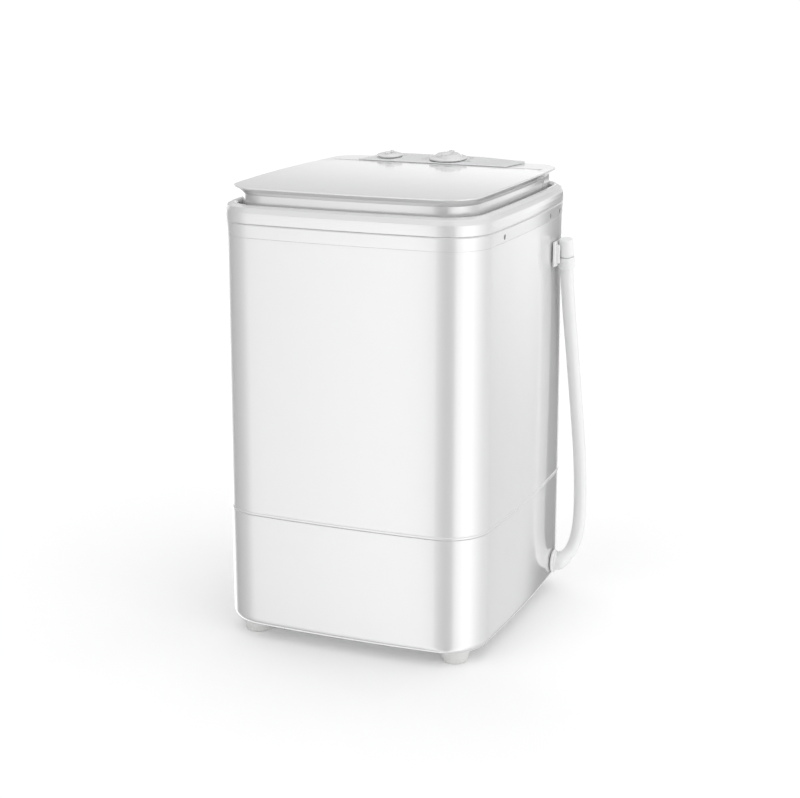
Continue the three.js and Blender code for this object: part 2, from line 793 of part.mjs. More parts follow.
const motorGroup = group(drive);
add(motorGroup, "motor_lower_shield", motorShield(94, 105.7, 105.7, motor.shaft + 1), darkMetal);
add(motorGroup, "motor_stator", ring(motor.x, motor.y, 106, 144, 27.6, motor.radius), steel);
add(motorGroup, "motor_upper_shield", motorShield(144.3, 160, 144.3, motor.shaft + 1), darkMetal);
add(motorGroup, "motor_rotor", ring(motor.x, motor.y, 108, 142, motor.shaft + gap, 26.8), steel);
add(motorGroup, "motor_shaft", rod(motor.x, motor.y, 56, 162, motor.shaft), steel);
add(motorGroup, "motor_pulley", pulley(motor.x, motor.y, smallPulley, motor.shaft + gap, 20), darkMetal);
add(motorGroup, "motor_fan", motorFan(), greyPlastic);
add(motorGroup, "motor_bracket", motorBracket(), steel);
add(motorGroup, "start_capacitor", rod(-130, 20, 26, 84, 15, 15, 24), greyPlastic);
add(motorGroup, "capacitor_clip", cut(
  join(ring(-130, 20, 48, 58, 15.4, 17), box(-160, -146.2, 14, 26, 48, 58)),
), steel);

const drain = group();
add(drain, "drain_sump", drainSump(), greyPlastic);
add(drain, "drain_pipe", drainPipe(), greyPlastic);
add(drain, "drain_elbow", drainElbow(), hosePlastic);
add(drain, "drain_hose", hoseTube(), hosePlastic);
add(drain, "hose_collar", hoseCollar(), hosePlastic);
add(drain, "hose_cap", hoseCap(), hosePlastic);
add(drain, "hose_clip", hoseClip(), hosePlastic);

export default machine;
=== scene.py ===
"""Compact top load washing machine: skins, controls, tub, pulsator, hose and fittings round its frame."""
import json
import math

import bmesh
import bpy
from mathutils import Matrix, Vector


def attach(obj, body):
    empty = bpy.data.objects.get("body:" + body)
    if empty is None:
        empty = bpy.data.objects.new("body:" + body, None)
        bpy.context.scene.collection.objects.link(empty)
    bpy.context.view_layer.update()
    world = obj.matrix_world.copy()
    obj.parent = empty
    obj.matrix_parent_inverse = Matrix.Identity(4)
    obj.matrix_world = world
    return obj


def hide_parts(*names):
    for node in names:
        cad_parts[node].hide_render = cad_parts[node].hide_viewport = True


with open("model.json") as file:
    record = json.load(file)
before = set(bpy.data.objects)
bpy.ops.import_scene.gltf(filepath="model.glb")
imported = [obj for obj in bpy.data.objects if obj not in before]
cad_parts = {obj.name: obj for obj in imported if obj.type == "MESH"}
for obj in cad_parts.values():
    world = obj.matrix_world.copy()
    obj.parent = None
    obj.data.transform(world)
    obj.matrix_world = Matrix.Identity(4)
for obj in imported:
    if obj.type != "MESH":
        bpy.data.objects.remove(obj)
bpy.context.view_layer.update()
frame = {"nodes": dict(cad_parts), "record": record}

bl_info = {
    "name": "Compact top load washer",
    "version": (1, 0, 0),
    "blender": (4, 5, 0),
    "location": "View3D > Sidebar > Washer",
    "description": "Builds the skins, controls, tub and drain hose of a small washing machine",
    "category": "Object",
}

MM = 0.001
NODES = frame["nodes"]


# ---------------------------------------------------------------- sizes and colours


class WasherSizes(bpy.types.PropertyGroup):
    """Sizes of the cabinet and of what stands on it."""

    half_width: bpy.props.FloatProperty(
        name="Half width", description="Middle of the machine to a side wall", default=0.180, unit="LENGTH"
    )
    half_depth: bpy.props.FloatProperty(
        name="Half depth", description="Middle of the machine to the front wall", default=0.194, unit="LENGTH"
    )
    corner_radius: bpy.props.FloatProperty(
        name="Corner radius", description="Radius of the upright corners", default=0.057, unit="LENGTH"
    )
    side_bow: bpy.props.FloatProperty(
        name="Side bow", description="How far a wall's middle stands proud of its ends", default=0.0034,
        unit="LENGTH",
    )
    seam_height: bpy.props.FloatProperty(
        name="Seam height", description="Floor to the joint of plinth and cabinet", default=0.1694,
        unit="LENGTH",
    )
    band_height: bpy.props.FloatProperty(
        name="Band height", description="Floor to the top of the cabinet wall", default=0.526, unit="LENGTH"
    )
    lid_height: bpy.props.FloatProperty(
        name="Lid height", description="Floor to the top of the closed lid", default=0.586, unit="LENGTH"
    )
    edge_round: bpy.props.FloatProperty(
        name="Edge rounding", description="Radius of the small moulded edges", default=0.0007, unit="LENGTH"
    )
    hose_diameter: bpy.props.FloatProperty(
        name="Hose diameter", description="Outside diameter of the drain hose", default=0.0176, unit="LENGTH"
    )


def millimetres(size):
    """A stored size in millimetres, without the stray digits of single precision."""
    return round(size / MM, 3)


class WasherColours(bpy.types.PropertyGroup):
    """Colours of the finishes."""

    gloss_white: bpy.props.FloatVectorProperty(
        name="Gloss white", description="Cabinet, lid and console", subtype="COLOR", size=3,
        default=(0.675, 0.675, 0.673),
    )
    satin_white: bpy.props.FloatVectorProperty(
        name="Satin white", description="Tub, lid liner and rear cover", subtype="COLOR", size=3,
        default=(0.74, 0.745, 0.745),
    )
    panel_white: bpy.props.FloatVectorProperty(
        name="Panel white", description="Control fascia", subtype="COLOR", size=3, default=(0.68, 0.684, 0.69)
    )
    hose_white: bpy.props.FloatVectorProperty(
        name="Hose white", description="Drain hose and its fittings", subtype="COLOR", size=3,
        default=(0.85, 0.855, 0.85),
    )
    foot_white: bpy.props.FloatVectorProperty(
        name="Foot white", description="Rubber feet", subtype="COLOR", size=3, default=(0.72, 0.72, 0.71)
    )
    ink: bpy.props.FloatVectorProperty(
        name="Ink", description="Printed marks on the fascia", subtype="COLOR", size=3,
        default=(0.16, 0.17, 0.18),
    )


class WasherStudio(bpy.types.PropertyGroup):
    """The camera and the light."""

    camera_azimuth: bpy.props.FloatProperty(
        name="Camera azimuth", description="Turn round the machine from its front", default=math.radians(22.5),
        subtype="ANGLE",
    )
    camera_elevation: bpy.props.FloatProperty(
        name="Camera elevation", description="Height above the horizon", default=math.radians(14.9),
        subtype="ANGLE",
    )
    camera_distance: bpy.props.FloatProperty(
        name="Camera distance", description="Camera to the point it looks at", default=1.7482, unit="LENGTH"
    )
    light: bpy.props.FloatProperty(
        name="Light", description="Strength of the studio light", default=1.05, min=0.0
    )


# ---------------------------------------------------------------- node graphs


class Wire:
    """A node's output. Arithmetic on it adds Math nodes."""

    def __init__(self, graph, socket):
        self.graph = graph
        self.socket = socket

    def _math(self, operation, first, second):
        return self.graph.add("ShaderNodeMath", {"operation": operation}, {0: first, 1: second})

    def __add__(self, other):
        return self._math("ADD", self, other)

    def __radd__(self, other):
        return self._math("ADD", other, self)

    def __sub__(self, other):
        return self._math("SUBTRACT", self, other)

    def __rsub__(self, other):
        return self._math("SUBTRACT", other, self)

    def __mul__(self, other):
        return self._math("MULTIPLY", self, other)

    def __rmul__(self, other):
        return self._math("MULTIPLY", other, self)

    def __truediv__(self, other):
        return self._math("DIVIDE", self, other)

    def __rtruediv__(self, other):
        return self._math("DIVIDE", other, self)

    def __pow__(self, other):
        return self._math("POWER", self, other)


class Graph:
    """Builds nodes in one tree."""

    def __init__(self, tree):
        self.tree = tree
        tree.nodes.clear()

    def add(self, kind, settings=None, inputs=None, output=0):
        """Adds a node, with its settings first and then its sockets' values or links, and gives one output."""
        node = self.tree.nodes.new(kind)
        settings = dict(settings or {})
        stops = settings.pop("stops", None)
        for key, value in settings.items():
            setattr(node, key, value)
        if stops:
            elements = node.color_ramp.elements
            while len(elements) < len(stops):
                elements.new(1.0)
            for element, (position, grey) in zip(elements, stops):
                element.position = position
                element.color = (grey, grey, grey, 1)
        for key, value in (inputs or {}).items():
            if isinstance(value, Wire):
                self.tree.links.new(value.socket, node.inputs[key])
            else:
                node.inputs[key].default_value = value
        return Wire(self, node.outputs[output]) if node.outputs else node

    def ramp_between(self, wire, low, high):
        """0 below low, 1 above high, smooth between."""
        return self.add(
            "ShaderNodeMapRange",
            {"interpolation_type": "SMOOTHSTEP"},
            {"Value": wire, "From Min": low, "From Max": high, "To Min": 0.0, "To Max": 1.0},
        )

    def mix_colour(self, factor, first, second):
        """The first colour where the factor is 0 and the second where it is 1."""
        inputs = {0: factor, 6: first, 7: second}
        return self.add("ShaderNodeMix", {"data_type": "RGBA"}, inputs, 2)


CLOUD_SCALE = 11.0  # soft changes of tone, in waves to the metre
STREAK_SCALE = 26.0  # fine rubbed lines
STREAK_STRETCH = (0.12, 0.9, 0.05)
RUBBED = (0.62, 0.78)  # where in the streaks' noise the rubbing starts and is full
RUBBED_DEPTH = -0.4


def shade(colour, factor):
    return tuple(min(channel * factor, 1.0) for channel in colour[:3]) + (1.0,)


def finish_material(
    name,
    colour,
    roughness,
    spread=0.03,
    drift=0.025,
    grain=900.0,
    grain_height=0.02,
    stretch=(1.0, 1.0, 1.0),
    scuffs=0.03,
    metallic=0.0,
    **fixed,
):
    """A moulded, rubber or metal finish. Grain is in waves to the metre and its height in millimetres."""
    if name in bpy.data.materials:
        return bpy.data.materials[name]
    material = bpy.data.materials.new(name)
    material.use_nodes = True
    g = Graph(material.node_tree)
    place = g.add("ShaderNodeTexCoord", output="Object")
    along = g.add("ShaderNodeMapping", {"vector_type": "TEXTURE"}, {"Vector": place, "Scale": stretch})
    cloud = g.add(
        "ShaderNodeTexNoise", {}, {"Vector": place, "Scale": CLOUD_SCALE, "Detail": 3.0, "Roughness": 0.5}
    )
    fine = g.add("ShaderNodeTexNoise", {}, {"Vector": along, "Scale": grain, "Detail": 2.0, "Roughness": 0.6})
    streaks = g.add("ShaderNodeMapping", {"vector_type": "TEXTURE"}, {"Vector": place, "Scale": STREAK_STRETCH})
    lines = g.add(
        "ShaderNodeTexNoise", {}, {"Vector": streaks, "Scale": STREAK_SCALE, "Detail": 4.0, "Roughness": 0.7}
    )
    rubbed = g.ramp_between(lines, *RUBBED)
    tone = g.mix_colour(cloud, shade(colour, 1 - drift), shade(colour, 1 + drift))
    worn = g.mix_colour(rubbed * 0.5, tone, shade(colour, 1 - 2 * scuffs))
    gloss = (cloud - 0.5) * (2 * spread) + rubbed * scuffs * 2 + fine * (spread * 0.5) + roughness
    height = fine + rubbed * RUBBED_DEPTH
    bump = g.add("ShaderNodeBump", {}, {"Height": height, "Strength": 0.6, "Distance": grain_height * MM})
    inputs = {"Base Color": worn, "Roughness": gloss, "Normal": bump, "Metallic": metallic, **fixed}
    surface = g.add("ShaderNodeBsdfPrincipled", {}, inputs)
    g.add("ShaderNodeOutputMaterial", {}, {"Surface": surface})
    return material


def finishes(context):
    """Every finish of the machine, by the record's slot name and a few of its own."""
    c = context.scene.washer_colours
    gloss = {"IOR": 1.6, "Specular IOR Level": 1.0, "Coat Weight": 1.0, "Coat IOR": 1.6, "Coat Roughness": 0.09}
    # Each has its material's name, colour, roughness, the roughness's spread, drift of the tone, waves of grain
    # to the metre, the grain's height in millimetres, and what else it needs.
    rows = {
        "gloss_white": ("gloss_white_plastic", c.gloss_white, 0.16, 0.02, 0.008, 700, 0.004,
                        {"scuffs": 0.01, **gloss}),
        "lid_white": ("lid_white_plastic", c.gloss_white, 0.24, 0.03, 0.008, 900, 0.006, {"scuffs": 0.012}),
        "satin_white": ("satin_white_plastic", c.satin_white, 0.42, 0.05, 0.02, 1400, 0.03, {}),
        "panel_white": ("panel_white_plastic", c.panel_white, 0.26, 0.04, 0.012, 1600, 0.01, gloss),
        "hose_white": ("hose_white_plastic", c.hose_white, 0.36, 0.05, 0.03, 1100, 0.02, {"scuffs": 0.04}),
        "foot_plastic": ("foot_white_rubber", c.foot_white, 0.6, 0.08, 0.04, 1500, 0.05, {"scuffs": 0.08}),
        "grey_plastic": ("grey_plastic", (0.42, 0.43, 0.44), 0.46, 0.06, 0.05, 1200, 0.04, {}),
        "bright_steel": ("bright_steel", (0.62, 0.63, 0.64), 0.3, 0.08, 0.05, 1500, 0.02,
                         {"stretch": (1, 1, 12), "metallic": 1.0}),
        "dark_metal": ("dark_metal", (0.13, 0.135, 0.14), 0.5, 0.1, 0.12, 900, 0.05, {"metallic": 0.8}),
        "black_rubber": ("black_rubber", (0.02, 0.02, 0.021), 0.75, 0.1, 0.2, 1600, 0.06, {}),
        "ink": ("printed_ink", c.ink, 0.5, 0.05, 0.05, 2500, 0.01, {}),
        "winding": ("lacquered_sheet_steel", (0.3, 0.3, 0.31), 0.42, 0.08, 0.1, 700, 0.12,
                    {"stretch": (40, 40, 1), "metallic": 0.9}),
    }
    return {slot: finish_material(*row[:-1], **row[-1]) for slot, row in rows.items()}


# ---------------------------------------------------------------- shapes, in millimetres


def link(name, mesh):
    obj = bpy.data.objects.new(name, mesh)
    bpy.context.scene.collection.objects.link(obj)
    return obj


def close_up(obj):
    """Merges doubled corners and turns every face outwards."""
    bm = bmesh.new()
    bm.from_mesh(obj.data)
    bmesh.ops.remove_doubles(bm, verts=bm.verts, dist=2e-6)
    bmesh.ops.dissolve_degenerate(bm, edges=bm.edges, dist=1e-6)
    bmesh.ops.recalc_face_normals(bm, faces=bm.faces)
    bm.to_mesh(obj.data)
    bm.free()


def skin(name, points, faces, matrix=None):
    """A closed object from corners in millimetres and faces, put in place by the matrix."""
    mesh = bpy.data.meshes.new(name)
    mesh.from_pydata([[c * MM for c in p] for p in points], [], faces)
    obj = link(name, mesh)
    if matrix is not None:
        move(obj, matrix)
    close_up(obj)
    return obj


def move(obj, matrix):
    """Turns and moves the mesh itself; the matrix's shift is in millimetres."""
    shift = Matrix.Translation(matrix.to_translation() * MM) @ matrix.to_3x3().to_4x4()
    obj.data.transform(shift)


GUARD = 0.6  # from a rounding to the point beside it
LONGEST_REACH = 0.45  # the most of a side that one rounding may take
STRAIGHT = math.radians(4)  # a corner that turns less than this is left alone


def rounded(points, radius, steps=4, closed=True):
    """Rounds the corners of a line of 2-D points, with a point on each side that keeps long flats flat."""
    out = []
    count = len(points)
    for i, point in enumerate(points):
        corner = Vector(point)
        if not closed and i in (0, count - 1):
            out.append(corner)
            continue
        back = Vector(points[i - 1]) - corner
        on = Vector(points[(i + 1) % count]) - corner
        turn = math.pi - back.angle(on)
        if turn < STRAIGHT:
            out.append(corner)
            continue
        longest = LONGEST_REACH * min(back.length, on.length)
        reach = min(radius * math.tan(turn / 2), longest)
        start = corner + back.normalized() * reach
        end = corner + on.normalized() * reach
        middle = (back.normalized() + on.normalized()).normalized()
        centre = corner + middle * (reach / math.tan(turn / 2) / math.cos(turn / 2))
        first = start - centre
        last = end - centre
        side = 1 if first.x * last.y - first.y * last.x > 0 else -1
        if back.length > 4 * reach:
            out.append(start + back.normalized() * min(reach, GUARD))
        for k in range(steps + 1):
            angle = side * turn * k / steps
            c, s = math.cos(angle), math.sin(angle)
            out.append(centre + Vector((first.x * c - first.y * s, first.x * s + first.y * c)))
        if on.length > 4 * reach:
            out.append(end + on.normalized() * min(reach, GUARD))
    return out


TUB = {"a": 146.0, "b": 136.5, "r": 60.0, "bow": 0.0, "cy": -23.5}


def cabinet_shape():
    """The cabinet's outline: half width, half depth, corner radius, bow and where its middle is."""
    sizes = bpy.context.scene.washer_sizes
    keys = {"a": "half_width", "b": "half_depth", "r": "corner_radius", "bow": "side_bow"}
    return {**{short: millimetres(getattr(sizes, key)) for short, key in keys.items()}, "cy": 0.0}


def slab_shape():
    """The outline of lid and console together: a little deeper than the cabinet, and tighter at the corners."""
    shape = cabinet_shape()
    return {**shape, "b": shape["b"] + 2.7, "r": shape["r"] - 3.0, "cy": 1.3}


def outline(grow, a, b, r, bow, cy, side_steps=8, corner_steps=18):
    """A rounded rectangle with gently bowed sides, pushed outwards by grow, counter-clockwise."""
    radius = max(r + grow, 5)
    core = (a + grow - radius, b + grow - radius)
    bow = min(bow, min(core) / 5)
    points = []
    for side in range(4):
        across = core[side % 2]
        along = core[(side + 1) % 2] - bow
        next_along = core[side % 2] - bow
        c, s = math.cos(side * math.pi / 2), math.sin(side * math.pi / 2)
        local = []
        for i in range(-side_steps, side_steps + 1):
            t = i / side_steps
            slope = math.atan(2 * bow * t / along)
            x = across - bow * t * t + radius * math.cos(slope)
            local.append((x, along * t + radius * math.sin(slope)))
        start = math.atan(2 * bow / along)
        end = math.pi / 2 - math.atan(2 * bow / next_along)
        for i in range(1, corner_steps):
            angle = start + (end - start) * i / corner_steps
            local.append((across - bow + radius * math.cos(angle), along + radius * math.sin(angle)))
        points += [(x * c - y * s, x * s + y * c + cy) for x, y in local]
    return points


def sweep(name, profile, shape, closed=True, ease=lambda z: 0.0):
    """Skins a stack of (grow, z) outlines: a ring when closed, else a slab capped at both ends.

    ease gives what the corner radius gains at a height."""
    rings = [
        [(x, y, z) for x, y in outline(grow, **{**shape, "r": shape["r"] + ease(z)})] for grow, z in profile
    ]
    n = len(rings[0])
    points = [p for ring in rings for p in ring]
    faces = []
    for k in range(len(rings) if closed else len(rings) - 1):
        low, high = k * n, (k + 1) % len(rings) * n
        faces += [(low + i, low + (i + 1) % n, high + (i + 1) % n, high + i) for i in range(n)]
    if not closed:
        top = (len(rings) - 1) * n
        faces += [tuple(reversed(range(n))), tuple(range(top, top + n))]
    return skin(name, points, faces)


def turned(name, profile, sides=48, matrix=None):
    """A closed (radius, z) profile turned about the Z axis, then put in place by the matrix."""
    n = len(profile)
    points = []
    for i in range(sides):
        angle = 2 * math.pi * i / sides
        points += [(r * math.cos(angle), r * math.sin(angle), z) for r, z in profile]
    faces = []
    for i in range(sides):
        a, b = i * n, (i + 1) % sides * n
        faces += [(a + k, b + k, b + (k + 1) % n, a + (k + 1) % n) for k in range(n)]
    return skin(name, points, faces, matrix)


def prism(name, polygon, low, high, axis="z"):
    """A polygon drawn out along Z (points are x, y) or along X (points are y, z)."""
    n = len(polygon)
    place = (lambda p, h: (p[0], p[1], h)) if axis == "z" else (lambda p, h: (h, p[0], p[1]))
    points = [place(p, low) for p in polygon] + [place(p, high) for p in polygon]
    faces = [(i, (i + 1) % n, n + (i + 1) % n, n + i) for i in range(n)]
    faces += [tuple(reversed(range(n))), tuple(range(n, 2 * n))]
    return skin(name, points, faces)


def block(name, x0, x1, y0, y1, z0, z1, edge=0.0, steps=2):
    """A box between these corners, its edges rounded by edge."""
    obj = prism(name, [(x0, y0), (x1, y0), (x1, y1), (x0, y1)], z0, z1)
    if edge:
        soften(obj, edge, steps)
    return obj


def rod(name, radius, low, high, matrix=None, sides=40, edge=0.0):
    """A round bar along Z, its ends' edges rounded by edge, put in place by the matrix."""
    profile = [(0, low), (radius, low), (radius, high), (0, high)]
    return turned(name, rounded(profile, edge, 3, False) if edge else profile, sides, matrix)


def sideways(y, z):
    """A frame at this y and z with its Z axis to the machine's right."""
    return Matrix.Translation((0, y, z)) @ Matrix.Rotation(math.pi / 2, 4, "Y")


def backwards(x, z):
    """A frame at this x and z with its Z axis to the machine's back."""
    return Matrix.Translation((x, 0, z)) @ Matrix.Rotation(-math.pi / 2, 4, "X")


def cross_slots(half_length, half_width, low, high):
    """The two slots of a cross head."""
    pairs = ((half_length, half_width), (half_width, half_length))
    return [block("slot", -a, a, -b, b, low, high) for a, b in pairs]


def soften(obj, width, segments=2, pick=None, angle=30):
    """Rounds the picked sharp edges. The width is in millimetres."""
    bm = bmesh.new()
    bm.from_mesh(obj.data)
    edges = [
        e for e in bm.edges
        if len(e.link_faces) == 2 and e.calc_face_angle(0) > math.radians(angle)
        and (pick is None or pick([v.co / MM for v in e.verts]))
    ]
    bmesh.ops.bevel(
        bm, geom=edges, offset=width * MM, offset_type="OFFSET", segments=segments, profile=0.5,
        affect="EDGES", clamp_overlap=True,
    )
    bm.to_mesh(obj.data)
    bm.free()


def settle(obj):
    """Turns what the modifiers make into the object's own plain mesh."""
    bpy.context.view_layer.update()
    seen = obj.evaluated_get(bpy.context.evaluated_depsgraph_get())
    made = bpy.data.meshes.new_from_object(seen)
    obj.modifiers.clear()
    obj.data = made
    return obj


def discard(*objects):
    for obj in objects:
        bpy.data.objects.remove(obj)


def combine(obj, operation, *others):
    """Joins (UNION), cuts (DIFFERENCE) or keeps what is common (INTERSECT), and uses up the others."""
    for other in others:
        modifier = obj.modifiers.new("solid", "BOOLEAN")
        modifier.operation = operation
        modifier.solver = "MANIFOLD"
        modifier.object = other
        settle(obj)
        discard(other)
        if not obj.data.polygons:
            raise RuntimeError(f"{obj.name} has nothing left after {operation}")
    close_up(obj)
    return obj


def cut(obj, *others):
    return combine(obj, "DIFFERENCE", *others)


def weld(obj, *others):
    return combine(obj, "UNION", *others)


def keep(obj, *others):
    return combine(obj, "INTERSECT", *others)


def gather(obj, *others):
    """Puts the others' meshes in with obj's, side by side."""
    bm = bmesh.new()
    for each in (obj, *others):
        bm.from_mesh(each.data)
    bm.to_mesh(obj.data)
    bm.free()
    discard(*others)
    return obj


def complete(obj, body, material, replaced=(), angle=32):
    """The last step of every piece: shading, finish, and what it rides on and stands for."""
    mesh = obj.data
    mesh.shade_smooth()
    mesh.set_sharp_from_angle(angle=math.radians(angle))
    if material is not None:
        mesh.materials.clear()
        mesh.materials.append(material)
    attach(obj, body)
    if replaced:
        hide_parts(*replaced)
    return obj


# ---------------------------------------------------------------- what repeats, as Geometry Nodes


SOCKETS = {
    "object": "NodeSocketObject",
    "count": "NodeSocketInt",
    "size": "NodeSocketFloat",
    "vector": "NodeSocketVector",
    "material": "NodeSocketMaterial",
}


def repeat_tree(name, inputs, build):
    """A tree with these named inputs whose build function gives the points and how each copy is turned."""
    if name in bpy.data.node_groups:
        return bpy.data.node_groups[name]
    tree = bpy.data.node_groups.new(name, "GeometryNodeTree")
    tree.interface.new_socket(name="Geometry", in_out="INPUT", socket_type="NodeSocketGeometry")
    for title, kind in {"Shape": "object", **inputs, "Finish": "material"}.items():
        tree.interface.new_socket(name=title, in_out="INPUT", socket_type=SOCKETS[kind])
    tree.interface.new_socket(name="Geometry", in_out="OUTPUT", socket_type="NodeSocketGeometry")
    g = Graph(tree)
    entry = tree.nodes.new("NodeGroupInput")
    given = {socket.name: Wire(g, socket) for socket in entry.outputs if socket.name}
    points, turn = build(g, given)
    shape = g.add("GeometryNodeObjectInfo", {}, {"Object": given["Shape"]}, "Geometry")
    placed = {"Points": points, "Instance": shape}
    if turn:
        placed["Rotation"] = turn
    copies = g.add("GeometryNodeInstanceOnPoints", {}, placed)
    real = g.add("GeometryNodeRealizeInstances", {}, {"Geometry": copies})
    shown = g.add("GeometryNodeSetMaterial", {}, {"Geometry": real, "Material": given["Finish"]})
    leave = tree.nodes.new("NodeGroupOutput")
    tree.links.new(shown.socket, leave.inputs[0])
    return tree


def row_points(g, given):
    """Points in a straight row."""
    line = g.add(
        "GeometryNodeMeshLine", {"mode": "OFFSET"},
        {"Count": given["Count"], "Start Location": given["Start"], "Offset": given["Step"]},
    )
    return line, None


def dial_points(g, given):
    """Points on an arc about the origin, each copy's X axis pointing outwards."""
    line = g.add("GeometryNodeMeshLine", {"mode": "OFFSET"}, {"Count": given["Count"]})
    index = g.add("GeometryNodeInputIndex")
    angle = index * given["Step angle"] + given["First angle"]
    x = g.add("ShaderNodeMath", {"operation": "COSINE"}, {0: angle}) * given["Radius"]
    y = g.add("ShaderNodeMath", {"operation": "SINE"}, {0: angle}) * given["Radius"]
    spot = g.add("ShaderNodeCombineXYZ", {}, {"X": x, "Y": y, "Z": 0.0})
    euler = g.add("ShaderNodeCombineXYZ", {}, {"X": 0.0, "Y": 0.0, "Z": angle})
    moved = g.add("GeometryNodeSetPosition", {}, {"Geometry": line, "Position": spot})
    return moved, g.add("FunctionNodeEulerToRotation", {}, {"Euler": euler})


def chosen_points(g, given):
    """The corners of the object's own mesh, each copy turned by its turn attribute."""
    euler = g.add(
        "GeometryNodeInputNamedAttribute", {"data_type": "FLOAT_VECTOR"}, {"Name": "turn"}, "Attribute"
    )
    return given["Geometry"], g.add("FunctionNodeEulerToRotation", {}, {"Euler": euler})


TREES = {
    "row": ("Row of copies", {"Count": "count", "Start": "vector", "Step": "vector"}, row_points),
    "dial": (
        "Copies round a dial",
        {"Count": "count", "Radius": "size", "First angle": "size", "Step angle": "size"},
        dial_points,
    ),
    "chosen": ("Copies at chosen points", {}, chosen_points),
}


def repeat(name, kind, shape, material, base=None, **values):
    """Copies shape by one of the trees and gives one plain mesh object. The shape is used up."""
    title, inputs, build = TREES[kind]
    tree = repeat_tree(title, inputs, build)
    obj = base or link(name, bpy.data.meshes.new(name))
    obj.name = name
    modifier = obj.modifiers.new("copies", "NODES")
    modifier.node_group = tree
    wanted = {key.replace("_", " ").capitalize(): value for key, value in values.items()}
    wanted |= {"Shape": shape, "Finish": material}
    for item in tree.interface.items_tree:
        if item.item_type == "SOCKET" and item.in_out == "INPUT" and item.name in wanted:
            modifier[item.identifier] = wanted[item.name]
    settle(obj)
    discard(shape)
    return obj


def points_with_turns(name, rows):
    """A mesh of loose points, each with a turn attribute: rows are (place in mm, euler angles)."""
    mesh = bpy.data.meshes.new(name)
    mesh.from_pydata([[c * MM for c in place] for place, _ in rows], [], [])
    turn = mesh.attributes.new("turn", "FLOAT_VECTOR", "POINT")
    for i, (_, angles) in enumerate(rows):
        turn.data[i].vector = angles
    return link(name, mesh)


def smooth_line(points, count):
    """Evenly spaced points on a smooth curve through the points given."""
    v = [Vector(p) for p in points]
    at = [0.0]
    for a, b in zip(v, v[1:]):
        at.append(at[-1] + (b - a).length)
    slopes = [(v[1] - v[0]) / (at[1] - at[0])]
    for i in range(1, len(v) - 1):
        slopes.append((v[i + 1] - v[i - 1]) / (at[i + 1] - at[i - 1]))
    slopes.append((v[-1] - v[-2]) / (at[-1] - at[-2]))
    out = []
    for k in range(count + 1):
        s = at[-1] * k / count
        i = max(j for j in range(len(v) - 1) if at[j] <= s + 1e-12)
        h = at[i + 1] - at[i]
        t = (s - at[i]) / h
        out.append(
            v[i] * (2 * t**3 - 3 * t**2 + 1) + slopes[i] * h * (t**3 - 2 * t**2 + t)
            + v[i + 1] * (3 * t**2 - 2 * t**3) + slopes[i + 1] * h * (t**3 - t**2)
        )
    return out


def tube(name, line, radius_at, sides=32):
    """A round tube along a line of points in millimetres, closed at both ends."""
    points = []
    direction = (line[1] - line[0]).normalized()
    side = direction.orthogonal().normalized()
    for i, spot in enumerate(line):
        ahead = line[min(i + 1, len(line) - 1)] - line[max(i - 1, 0)]
        new_direction = ahead.normalized()
        side = direction.rotation_difference(new_direction) @ side
        direction = new_direction
        other = direction.cross(side)
        radius = radius_at(i / (len(line) - 1))
        for k in range(sides):
            angle = 2 * math.pi * k / sides
            points.append(spot + (side * math.cos(angle) + other * math.sin(angle)) * radius)
    faces = []
    for i in range(len(line) - 1):
        a, b = i * sides, (i + 1) * sides
        faces += [(a + k, a + (k + 1) % sides, b + (k + 1) % sides, b + k) for k in range(sides)]
    last = (len(line) - 1) * sides
    faces += [tuple(reversed(range(sides))), tuple(range(last, last + sides))]
    return skin(name, points, faces)


# ---------------------------------------------------------------- the stage


